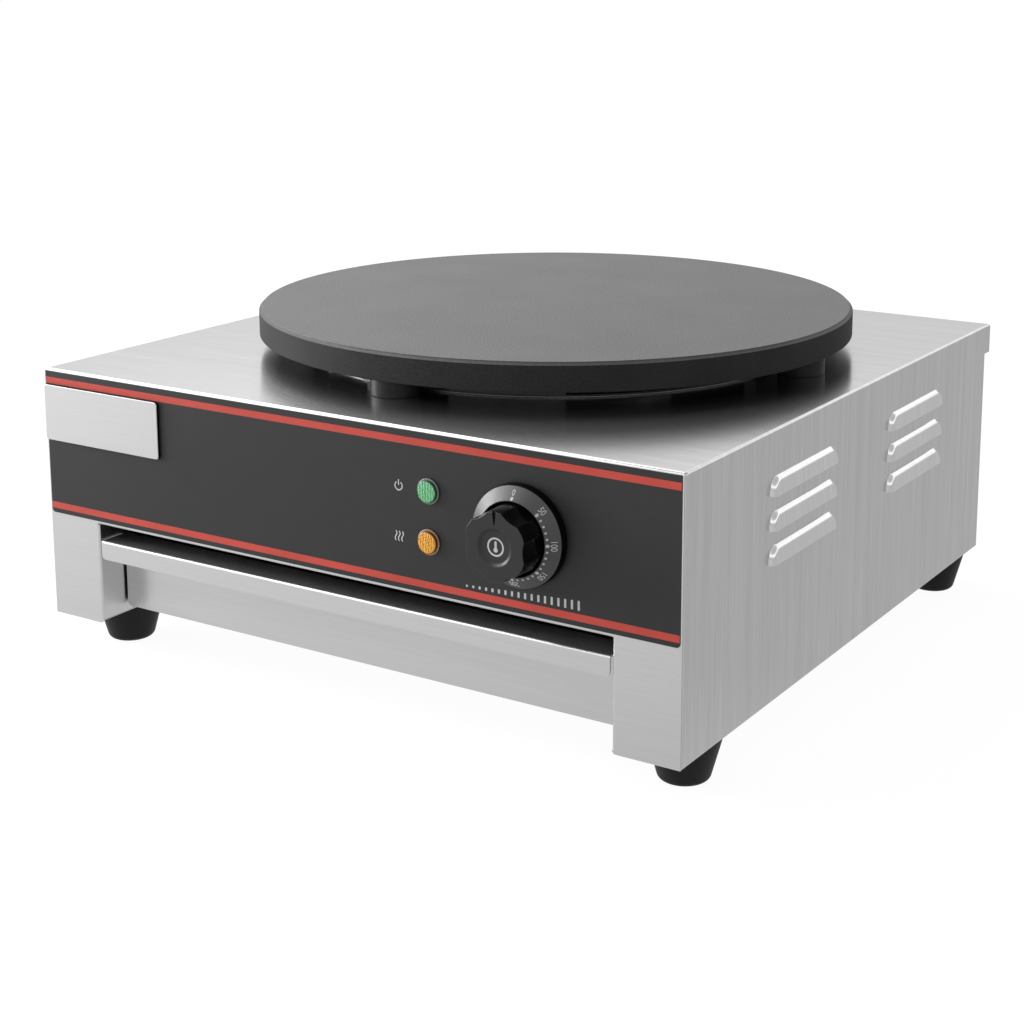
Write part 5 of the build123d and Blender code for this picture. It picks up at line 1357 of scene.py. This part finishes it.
@dataclass
class PilotLamp(SubAssembly):
    """Pilot lamp lens: a thin rim and a dome with prismatic ribs.

    Fields:
        node: the node that it replaces.
        slot: its material slot.
        finish, rim_finish, wall_shade_finish: finishes of the dome, of the rim, and of the walls of both; the
            walls' darker finish is painted shade.
        rim_proud: how far the rim stands out.
        dome_radius: radius of the dome.
        neck_radius: radius of the neck through strip and panel.
        ribs: upright ribs across the dome.
        rib_depth: depth of the grooves between ribs.
        cross_depth: depth of the grooves between the faint cross ribs.
        lean: slope of the faint cross ribs.
        shoulder: width of the dome's sloping shoulder.
        shoulder_drops: how far the shoulder's two ends lie behind the dome's crown.
        bulge: how far the dome falls towards its edge.
    """

    node: str = "power_lamp_lens"
    slot: str = "green_lens"
    finish: LampPlastic = Finishes.GREEN_LENS
    rim_finish: Speckled = Finishes.GREEN_RIM
    wall_shade_finish: Speckled = Finishes.GREEN_WALL_SHADE
    rim_proud: float = 1.1 * MM
    dome_radius: float = 6.5 * MM
    neck_radius: float = 5.0 * MM
    ribs: int = 7
    rib_depth: float = 0.45 * MM
    cross_depth: float = 0.18 * MM
    lean: float = 0.55
    shoulder: float = 0.5 * MM
    shoulder_drops: tuple[float, float] = (0.55 * MM, 0.85 * MM)
    bulge: float = 0.5 * MM

    def build(self) -> None:
        """Make the lens as a height over polar rings.

        The face stands out by the dome's height, less the upright ribs, which follow the distance
        to the nearest groove in X, and less the cross ribs, which follow it along a leaning line.
        """
        low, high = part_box(self.node)
        x, z = (low.x + high.x) / 2, (low.z + high.z) / 2
        rim_radius = (high.x - low.x) / 2
        strip_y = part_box("control_overlay")[0].y
        face_y = low.y
        columns = 192
        angle = np.linspace(0, TURN, columns, endpoint=False)
        dome = np.linspace(0, self.dome_radius - self.shoulder, 44)[:, None]
        across, rise = dome * np.cos(angle), dome * np.sin(angle)
        pitch = 2 * self.dome_radius / self.ribs
        rib = np.abs((across / pitch) % 1 - 0.5) * 2
        cross = np.abs(((rise + self.lean * across) / pitch) % 1 - 0.5) * 2
        height = face_y + self.rib_depth * rib**1.5 + self.cross_depth * cross**2
        height = height + (dome / self.dome_radius) ** 4 * self.bulge
        face = np.stack([x + across, height, z + rise], axis=-1)
        first_drop, last_drop = self.shoulder_drops
        border = rounded_profile(
            [
                (self.dome_radius - self.shoulder, face_y + first_drop),
                (self.dome_radius, face_y + last_drop),
                (self.dome_radius + 0.1 * MM, strip_y - self.rim_proud),
                (rim_radius, strip_y - self.rim_proud),
                (rim_radius, strip_y),
                (self.neck_radius, strip_y),
                (self.neck_radius, high.y),
                (0, high.y),
            ],
            [0, 0.3 * MM, 0.1 * MM, 0.5 * MM, 0, 0, 0, 0],
        )
        out, back = border[:, :1], np.broadcast_to(border[:, 1:], (len(border), columns))
        side = np.stack([x + out * np.cos(angle), back, z + out * np.sin(angle)], axis=-1)
        rows = np.concatenate([face, side])
        lens = mesh_object(self.node + "_ribbed", rows, grid_quads(len(rows), columns), sharp=70)
        paint(lens, self.finish, self.rim_finish, self.wall_shade_finish)
        centres = face_vectors(lens, "center") - np.array([x, 0, z])
        distance = np.hypot(centres[:, 0], centres[:, 2])
        forward = np.abs(face_vectors(lens, "normal")[:, 1]) > 0.5
        outside = distance > self.dome_radius - self.shoulder
        # Shoulder and walls get the darker wall finish: painted shade.
        set_zones(lens, np.where(outside, np.where(forward & (distance > self.dome_radius), 1, 2), 0))
        self.keep(lens, self.slot, self.node)


@dataclass
class DialRing(SubAssembly):
    """Fixed ring round the knob, with its figures from 0 to 300 and its dots.

    Fields:
        wall: height of the ring's outer wall; its face rises from there to the knob as a cone.
        figures: number of steps of the scale.
        step_value: what one step stands for.
        step_angle: degrees clockwise from one figure to the next.
        figure_size: height of the figures.
        figure_circle: circle of the figures' middles.
        dot_circle: circle of the dots.
        dots_between: small dots between two figures, after the first.
        large_dot, small_dot: radii of the dots.
        ink: thickness of the print.
        knob_gap: room between knob and ring.
        bore: radius of the bore for the thermostat's shaft.
        screw_head: thickness of the screw heads that the ring's floor stands clear of.
        shaded_wall_zone: width inside the outer radius that has the wall's near-black finish, which is
            painted shade.
    """

    wall: float = 5.2 * MM
    figures: int = 7
    step_value: int = 50
    step_angle: float = 45.0
    figure_size: float = 4.2 * MM
    figure_circle: float = 25.6 * MM
    dot_circle: float = 22.8 * MM
    dots_between: int = 4
    large_dot: float = 0.92 * MM
    small_dot: float = 0.6 * MM
    ink: float = 0.04 * MM
    knob_gap: float = 0.6 * MM
    bore: float = 3.5 * MM
    screw_head: float = 2.0 * MM
    shaded_wall_zone: float = 0.35 * MM

    def build(self) -> None:
        """Turn the ring and print its scale."""
        low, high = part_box("dial_ring")
        x, z = (low.x + high.x) / 2, (low.z + high.z) / 2
        radius = (high.x - low.x) / 2
        knob_low, knob_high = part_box("control_knob")
        inner = (knob_high.x - knob_low.x) / 2 + self.knob_gap
        floor_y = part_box("control_screws")[0].y + self.screw_head
        outline = rounded_profile(
            [
                (self.bore, high.y),
                (radius, high.y),
                (radius, high.y - self.wall),
                (inner, low.y),
                (inner, floor_y),
                (self.bore, floor_y),
                (self.bore, high.y),
            ],
            [0, 0, 0.9 * MM, 0.5 * MM, 0.3 * MM, 0, 0],
            steps=8,
        )
        ring = spun("dial_ring_body", outline, (x, 0, z), Spin.FORWARD, 256)
        paint(ring, Finishes.DIAL, Finishes.DIAL_WALL_SHADE)
        centres = face_vectors(ring, "center") - np.array([x, 0, z])
        # The outer wall gets a near-black copy of the dial's plastic: painted shade.
        set_zones(ring, np.hypot(centres[:, 0], centres[:, 2]) > radius - self.shaded_wall_zone)
        weighted_normals(ring)
        self.keep(ring, "dial_plastic", "dial_ring")

        def face_y(distance: Array) -> Array:
            """Face of the ring at a distance from its axis: it falls evenly to the outer wall."""
            return low.y + (high.y - self.wall - low.y) * (distance - inner) / (radius - inner)

        parts = []
        for number in range(self.figures):
            points, faces = figure_mesh(str(number * self.step_value), self.figure_size, self.ink)
            turn = Matrix.Rotation(radians(number * self.step_angle), 3, "Y")
            points = (points + np.array([0, 0, self.figure_circle])) @ np.array(turn).T
            points[:, 1] += face_y(np.hypot(points[:, 0], points[:, 2])) - self.ink / 2
            parts.append((points + np.array([x, 0, z]), faces))
        numbers = joined("dial_figures", parts)
        paint(numbers, Finishes.PRINT)
        self.keep(numbers, "dial_plastic")

        large = np.arange(self.figures) * self.step_angle
        small_pitch = self.step_angle / (self.dots_between + 1)
        small = np.arange((self.figures - 2) * (self.dots_between + 1)) * small_pitch + self.step_angle
        small = small[np.abs(small / self.step_angle - np.round(small / self.step_angle)) > 0.01]
        outlines = []
        for angles, size in ((large, self.large_dot), (small, self.small_dot)):
            for angle in np.radians(angles):
                across, up = self.dot_circle * sin(angle), self.dot_circle * cos(angle)
                outlines.append(disc_outline(across, up, size))
        dots = thicken_front("dial_dots", outlines, -self.ink, 2 * self.ink)
        reshape(dots, lambda points: points + shifted(x, face_y(np.hypot(points[:, 0], points[:, 2])), z))
        paint(dots, Finishes.PRINT)
        self.keep(dots, "dial_plastic")


@dataclass
class ControlKnob(SubAssembly):
    """Scalloped knob with a dished cap, a pointer slot and a printed thermometer.

    Fields:
        lobes: number of lobes.
        face_radius: radius over the lobes at the face.
        scallop_radius: radius of each scallop's hollow.
        scallop_depth: its depth at the face.
        scallop_end: shares of the height between which each scallop runs out like a spoon.
        edge: round between face and side.
        cap_radius, cap_depth: the dish in the face.
        cap_wall: width of the slope inside the dish's lip.
        soft: how far the crests between lobes and scallops are rounded.
        slot_length, slot_width, slot_depth: the pointer slot in the upper lobe.
        slot_tip: share of the width that is left at the slot's inner end.
        print_ring: inner and outer radius of the printed ring.
        bulb: how far the printed thermometer's bulb lies below the middle, and its radius.
        stem: how far its stem's middle lies above the middle, and the stem's width and height.
        ink: thickness of the print.
    """

    body: Body = Body.KNOB
    lobes: int = 6
    face_radius: float = 19.8 * MM
    scallop_radius: float = 19.0 * MM
    scallop_depth: float = 1.8 * MM
    scallop_end: tuple[float, float] = (0.6, 0.88)
    edge: float = 0.45 * MM
    cap_radius: float = 11.0 * MM
    cap_depth: float = 1.5 * MM
    cap_wall: float = 2.2 * MM
    slot_length: float = 7.8 * MM
    slot_width: float = 2.4 * MM
    slot_depth: float = 1.4 * MM
    soft: float = 0.25 * MM
    slot_tip: float = 0.12
    print_ring: tuple[float, float] = (4.3 * MM, 5.3 * MM)
    bulb: tuple[float, float] = (1.7 * MM, 1.35 * MM)
    stem: tuple[float, float, float] = (1.0 * MM, 1.4 * MM, 4.6 * MM)
    ink: float = 0.05 * MM

    def outline(self, angle: Array, fade: Array) -> Array:
        """Radius at an angle from the top, for scallops faded by 0 to 1.

        Where a scallop's circle, centred outside the knob, cuts in, the radius is the near
        intersection of the ray with that circle; elsewhere it is the lobe's radius. A smooth
        minimum of the two rounds the crest between them.

        Args:
            angle: angles from the top.
            fade: how far each scallop has run out.

        Returns:
            The radii.
        """
        pitch = TURN / self.lobes
        off = (angle % pitch) - pitch / 2
        depth = self.scallop_depth * (1 - fade)
        middle = self.face_radius + self.scallop_radius - depth
        under = self.scallop_radius**2 - (middle * np.sin(off)) ** 2
        near = middle * np.cos(off) - np.sqrt(np.maximum(under, 0))
        lobe, soft = self.face_radius, self.soft
        cut = np.where(under > 0, near, lobe * 1.2)
        blend = np.clip(0.5 + 0.5 * (lobe - cut) / soft, 0, 1)
        return lobe * (1 - blend) + cut * blend - soft * blend * (1 - blend)

    def dish(self, distance: Array, face_y: float) -> Array:
        """Place of the face at a distance from the axis: a shallow bowl inside a smooth slope.

        Args:
            distance: distances from the axis.
            face_y: place of the knob's face.

        Returns:
            The places along Y.
        """
        inward = np.clip((self.cap_radius - distance) / self.cap_wall, 0, 1)
        bowl = 0.75 + 0.25 * (1 - np.clip(distance / self.cap_radius, 0, 1) ** 2)
        return face_y + self.cap_depth * bowl * inward**2 * (3 - 2 * inward)

    def slot_half(self, up: Array) -> Array:
        """Half the slot's width at heights above the axis: a wedge that widens outwards.

        Args:
            up: heights above the axis.

        Returns:
            Half the width.
        """
        share = np.clip((up - self.face_radius + self.slot_length) / self.slot_length, 0, 1)
        return self.slot_width / 2 * (self.slot_tip + (1 - self.slot_tip) * share)

    def build(self) -> None:
        """Make the knob as rings: dish, face, rounded edge, side, back."""
        low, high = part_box("control_knob")
        x, z = (low.x + high.x) / 2, (low.z + high.z) / 2
        face_y, back_y = low.y, high.y
        flare = (high.x - low.x) / 2 - self.face_radius
        angle = np.linspace(0, TURN, 720, endpoint=False)
        rim = self.outline(angle, np.zeros(1))
        inside = np.linspace(0, self.cap_radius, 40)[:, None] * np.ones_like(angle)
        share = np.linspace(0, 1, 28)[1:, None]
        flat = self.cap_radius + (rim - self.edge - self.cap_radius) * share
        turn = np.linspace(0, pi / 2, 7)[1:, None]
        bend = rim - self.edge + self.edge * np.sin(turn)
        down = np.linspace(0, 1, 40)[1:, None]
        first, last = self.scallop_end
        wall = self.outline(angle, np.clip((down - first) / (last - first), 0, 1) ** 2) + flare * down
        radius = np.concatenate([inside, flat, bend, wall, wall[-1:] - 1 * MM, wall[-1:] * 0])
        start = face_y + self.edge
        depth = np.concatenate(
            [
                self.dish(inside, face_y),
                np.full_like(flat, face_y),
                np.broadcast_to(face_y + self.edge * (1 - np.cos(turn)), bend.shape),
                np.broadcast_to(start + (back_y - start) * down, wall.shape),
                np.full((2, len(angle)), back_y),
            ]
        )
        across = radius * np.sin(angle)
        up = radius * np.cos(angle)
        inner_end = self.face_radius - self.slot_length
        floor_y = face_y + self.slot_depth
        in_slot = (np.abs(across) < self.slot_half(up)) & (up > inner_end) & (depth < floor_y)
        depth = np.where(in_slot, floor_y, depth)
        points = np.stack([x + across, depth, z + up], axis=-1)
        rows, columns = radius.shape
        knob = mesh_object("scalloped_knob", points, grid_quads(rows, columns), sharp=50)
        centres = face_vectors(knob, "center") - np.array([x, face_y, z])
        # The side gets a darker copy of the face's plastic: painted shade, with its gloss as its finish.
        side = (centres[:, 1] > self.edge * 0.4) & (np.hypot(centres[:, 0], centres[:, 2]) > self.cap_radius)
        # The slot's faces get the near-black finish: painted shade in the recess.
        reach = self.slot_half(centres[:, 2])
        slot = (np.abs(centres[:, 0]) < reach + 0.05 * MM) & (centres[:, 2] > inner_end)
        slot &= (centres[:, 1] > 0.05 * MM) & (centres[:, 1] < self.slot_depth + 0.1 * MM)
        paint(knob, Finishes.KNOB_FACE, Finishes.KNOB_SIDE_SHADE, Finishes.SLOT_SHADE)
        set_zones(knob, np.where(slot, 2, np.where(side, 1, 0)))
        self.keep(knob, "knob_plastic", "control_knob")
        self.print_thermometer(x, z, face_y)
        self.dress(Finishes.SHAFT, "thermostat_shaft")

    def print_thermometer(self, x: float, z: float, face_y: float) -> None:
        """A ring with a plain thermometer in it, printed on the bottom of the dish.

        Args:
            x, z: the knob's axis.
            face_y: place of the knob's face.
        """
        inner, outer = self.print_ring
        front = -self.ink
        rim = np.array([(inner, front), (outer, front), (outer, 0), (inner, 0), (inner, front)])
        ring = spun("knob_print_ring", rim, (0, 0, 0), Spin.FORWARD, 96)
        bulb = disc_outline(0, -self.bulb[0], self.bulb[1])
        rise, width, height = self.stem
        stem = np.array([0, rise]) + rounded_outline(width, height, width / 2 - 0.01 * MM, 6)
        figure = thicken_front("knob_print_figure", [bulb, stem], -self.ink, self.ink)
        for mark in (ring, figure):
            reshape(mark, lambda points: points + shifted(
                x, self.dish(np.hypot(points[:, 0], points[:, 2]), face_y), z
            ))
            paint(mark, Finishes.PRINT)
            self.keep(mark, "knob_plastic")


@dataclass
class RubberFoot(SubAssembly):
    """Tapered rubber foot with a round lower edge and a screw recess.

    Fields:
        node: the node that it replaces.
        bottom_radius: radius at the floor, before the edge's round.
        edge: radius of that round.
        recess_radius, recess_depth: the screw recess from below.
        bore: radius of the screw's bore.
    """

    node: str = "foot_front_left"
    bottom_radius: float = 14.6 * MM
    edge: float = 4.5 * MM
    recess_radius: float = 8.0 * MM
    recess_depth: float = 14.0 * MM
    bore: float = 3.2 * MM

    def build(self) -> None:
        """Turn the foot."""
        low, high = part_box(self.node)
        top_radius = (high.x - low.x) / 2
        centre = ((low.x + high.x) / 2, (low.y + high.y) / 2, 0.0)
        outline = rounded_profile(
            [
                (self.bore, high.z),
                (top_radius, high.z),
                (self.bottom_radius, low.z),
                (self.recess_radius, low.z),
                (self.recess_radius, low.z + self.recess_depth),
                (self.bore, low.z + self.recess_depth),
                (self.bore, high.z),
            ],
            [0, 0.6 * MM, self.edge, 0.5 * MM, 0.3 * MM, 0, 0],
            steps=10,
        )
        foot = spun(self.node + "_rubber", outline, centre, Spin.UPRIGHT, 96)
        paint(foot, Finishes.RUBBER)
        self.keep(foot, "foot_rubber", self.node)


# ---------------------------------------------------------------------------- studio
@dataclass
class Studio:
    """Pale floor, white surroundings, soft lamps and the camera.

    Fields:
        eye: the camera's place: right of the middle, in front of the front panel, above the floor.
        yaw, pitch, roll: where it looks, in degrees.
        focal: focal length in pixels of the picture.
        axis: column and row of the picture that the optical axis meets.
        width: the picture's width and height in pixels.
        film: width of the camera's film in millimetres.
        light_way: direction in which the light of the surroundings grows.
        light: its strength at both ends.
        sky: strength of the reflected sky at the right and at the left.
        band_low, band_high: sines of the heights where the reflected bright band begins and ends.
        band_glow: how much brighter the band is than the rest of the reflected sky.
        floor: strength of the reflected floor behind at the right and in front at the left.
        floor_ends: distances of the two from the middle.
        floor_tone: reflectance of the floor.
        floor_white, floor_glow: share and strength of the white that the camera sees on the floor.
        floor_half: half the floor's width.
        aim: what the lamps face.
        lamps: name, place, width and power of each lamp.
    """

    eye: Point = (0.672156, 0.830669, 0.456005)
    yaw: float = -31.8438
    pitch: float = 11.2336
    roll: float = 0.0719
    focal: float = 1896.006
    axis: tuple[float, float] = (560.0, 320.0)
    width: float = 1024.0
    film: float = 36.0
    light_way: Point = (-0.8, -0.2, 0.5)
    light: tuple[float, float] = (0.3, 0.75)
    sky: tuple[float, float] = (0.67, 0.88)
    band_low: tuple[float, float] = (0.23, 0.33)
    band_high: tuple[float, float] = (0.48, 0.58)
    band_glow: float = 0.95
    floor: tuple[float, float] = (0.58, 0.91)
    floor_ends: tuple[float, float] = (-0.2, 0.66)
    floor_tone: float = 0.86
    floor_white: float = 0.9
    floor_glow: float = 1.056
    floor_half: float = 60.0
    aim: Point = (0.0, 0.0, 0.12)
    lamps: tuple[tuple[str, Point, float, float], ...] = (
        ("key_softbox", (-1.8, -1.4, 1.7), 1.6, 22.0),
        ("top_softbox", (-1.1, 0.4, 1.45), 1.2, 12.5),
        ("side_softbox", (-2.3, -0.7, 0.6), 1.0, 45.0),
    )

    def build(self) -> None:
        """Make the studio."""
        self.set_camera()
        self.set_world()
        self.set_floor()
        for lamp in self.lamps:
            self.add_lamp(*lamp)
        bpy.context.scene.view_settings.view_transform = "Standard"

    def set_camera(self) -> None:
        """Turn yaw, pitch and roll into the camera's axes, and pixels into lens and shift."""
        yaw, pitch, roll = radians(self.yaw), radians(self.pitch), radians(self.roll)
        ahead = Vector((sin(yaw) * cos(pitch), cos(yaw) * cos(pitch), -sin(pitch)))
        level = Vector((cos(yaw), -sin(yaw), 0))
        upright = level.cross(ahead)
        right = level * cos(roll) + upright * sin(roll)
        up = upright * cos(roll) - level * sin(roll)
        data = bpy.data.cameras.new("camera")
        data.sensor_width = self.film
        data.lens = self.film * self.focal / self.width
        data.shift_x = (self.width / 2 - self.axis[0]) / self.width
        data.shift_y = (self.axis[1] - self.width / 2) / self.width
        data.clip_start = 0.01
        camera = bpy.data.objects.new("camera", data)
        bpy.context.scene.collection.objects.link(camera)
        across, ahead_of_panel, height = self.eye
        eye = (across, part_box("front_panel")[0].y - ahead_of_panel, height)
        camera.matrix_world = Matrix(
            (
                (right.x, up.x, -ahead.x, eye[0]),
                (right.y, up.y, -ahead.y, eye[1]),
                (right.z, up.z, -ahead.z, eye[2]),
                (0, 0, 0, 1),
            )
        )
        bpy.context.scene.camera = camera

    def towards(self, sheet: NodeTree, way: Point, values: tuple[float, float],
                ends: tuple[float, float] = (-1.0, 1.0)) -> bpy.types.NodeSocket:
        """Value that runs evenly with the distance along a direction.

        Args:
            sheet: the node tree.
            way: the direction that the value runs along.
            values: the value at each end.
            ends: the two distances.

        Returns:
            The value, held at its ends.
        """
        return sheet.spread(sheet.along(Vector(way).normalized()), *values, *ends)

    def by_ray(self, sheet: NodeTree, shader: str, plain: bpy.types.NodeSocket,
               glossy: bpy.types.NodeSocket, white: float, glow: float = 1.0) -> None:
        """Plain shader for light, another strength in reflections, white to the camera and through glass.

        Args:
            sheet: the node tree, whose output it drives.
            shader: kind of the glowing shaders, for a world or a surface.
            plain: the shader that gives light.
            glossy: strength of what reflections show.
            white: share of white that the camera sees.
            glow: strength of that white.
        """
        path = sheet.add("ShaderNodeLightPath").outputs
        mirrored = sheet.add(shader)
        sheet.link(glossy, mirrored.inputs["Strength"])
        first = sheet.mixed(path["Is Glossy Ray"], plain, mirrored.outputs[0])
        seen = sheet.math("MAXIMUM", path["Is Camera Ray"], path["Is Transmission Ray"])
        bright = sheet.add(shader)
        bright.inputs["Color"].default_value = (1, 1, 1, 1)
        bright.inputs["Strength"].default_value = glow
        sheet.link(sheet.mixed(sheet.math("MULTIPLY", seen, white), first, bright.outputs[0]), sheet.surface)

    def set_world(self) -> None:
        """White to the camera, brighter at the left, and with a band that bends reflect as a bright line."""
        world = bpy.data.worlds.new("surroundings")
        world.use_nodes = True
        bpy.context.scene.world = world
        sheet = NodeTree(world.node_tree, "ShaderNodeOutputWorld", "Generated")
        light = sheet.add("ShaderNodeBackground")
        light.inputs["Color"].default_value = (1, 1, 1, 1)
        sheet.link(self.towards(sheet, self.light_way, self.light), light.inputs["Strength"])
        up = (0.0, 0.0, 1.0)
        rise = self.towards(sheet, up, (0.0, self.band_glow), self.band_low)
        fall = self.towards(sheet, up, (1.0, 0.0), self.band_high)
        sky = self.towards(sheet, (-1.0, 0.0, 0.0), self.sky)
        glossy = sheet.math("ADD", sky, sheet.math("MULTIPLY", rise, fall))
        self.by_ray(sheet, "ShaderNodeBackground", light.outputs[0], glossy, 1.0)

    def set_floor(self) -> None:
        """Large pale floor that is white to the camera and keeps a soft shadow."""
        half = self.floor_half
        span = np.array([[-half, -half, 0], [half, -half, 0], [half, half, 0], [-half, half, 0]])
        floor = mesh_object("floor", span, [[0, 1, 2, 3]])
        material = bpy.data.materials.new("pale_floor")
        material.use_nodes = True
        sheet = NodeTree(material.node_tree, "ShaderNodeOutputMaterial", "Object")
        matt = sheet.add("ShaderNodeBsdfDiffuse")
        matt.inputs["Color"].default_value = (*grey(self.floor_tone), 1)
        glossy = self.towards(sheet, (-1.0, -1.0, 0.0), self.floor, self.floor_ends)
        self.by_ray(sheet, "ShaderNodeEmission", matt.outputs[0], glossy, self.floor_white, self.floor_glow)
        floor.data.materials.append(material)

    def add_lamp(self, name: str, place: Point, width: float, power: float) -> None:
        """Square soft lamp that faces the middle of the object.

        Args:
            name: the lamp's name.
            place: its middle.
            width: its width.
            power: its power in watts.
        """
        data = bpy.data.lights.new(name, "AREA")
        data.size = width
        data.energy = power
        lamp = bpy.data.objects.new(name, data)
        bpy.context.scene.collection.objects.link(lamp)
        turned = (Vector(self.aim) - Vector(place)).to_track_quat("-Z", "Y").to_matrix().to_4x4()
        lamp.matrix_world = Matrix.Translation(place) @ turned


def main() -> None:
    """Load the frame, build and dress each sub-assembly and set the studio."""
    logging.basicConfig(level=logging.INFO, format="%(name)s %(message)s")
    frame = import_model()
    feet = [name for name in sorted(frame["nodes"]) if name.startswith(("foot_front", "foot_rear"))]
    assemblies: list[SubAssembly] = [
        Casing(frame),
        LouvreHoods(frame),
        Drawer(frame),
        GriddlePlate(frame),
        UnderPlate(frame),
        Wiring(frame),
        ControlStrip(frame),
        BadgePlate(frame),
        PilotLamp(frame),
        PilotLamp(
            frame, node="heat_lamp_lens", slot="amber_lens", finish=Finishes.AMBER_LENS,
            rim_finish=Finishes.AMBER_RIM, wall_shade_finish=Finishes.AMBER_WALL_SHADE,
        ),
        DialRing(frame),
        ControlKnob(frame),
        *(RubberFoot(frame, node=name) for name in feet),
    ]
    for assembly in assemblies:
        assembly.build()
        assembly.report()
    Studio().build()


if __name__ == "__main__":
    main()
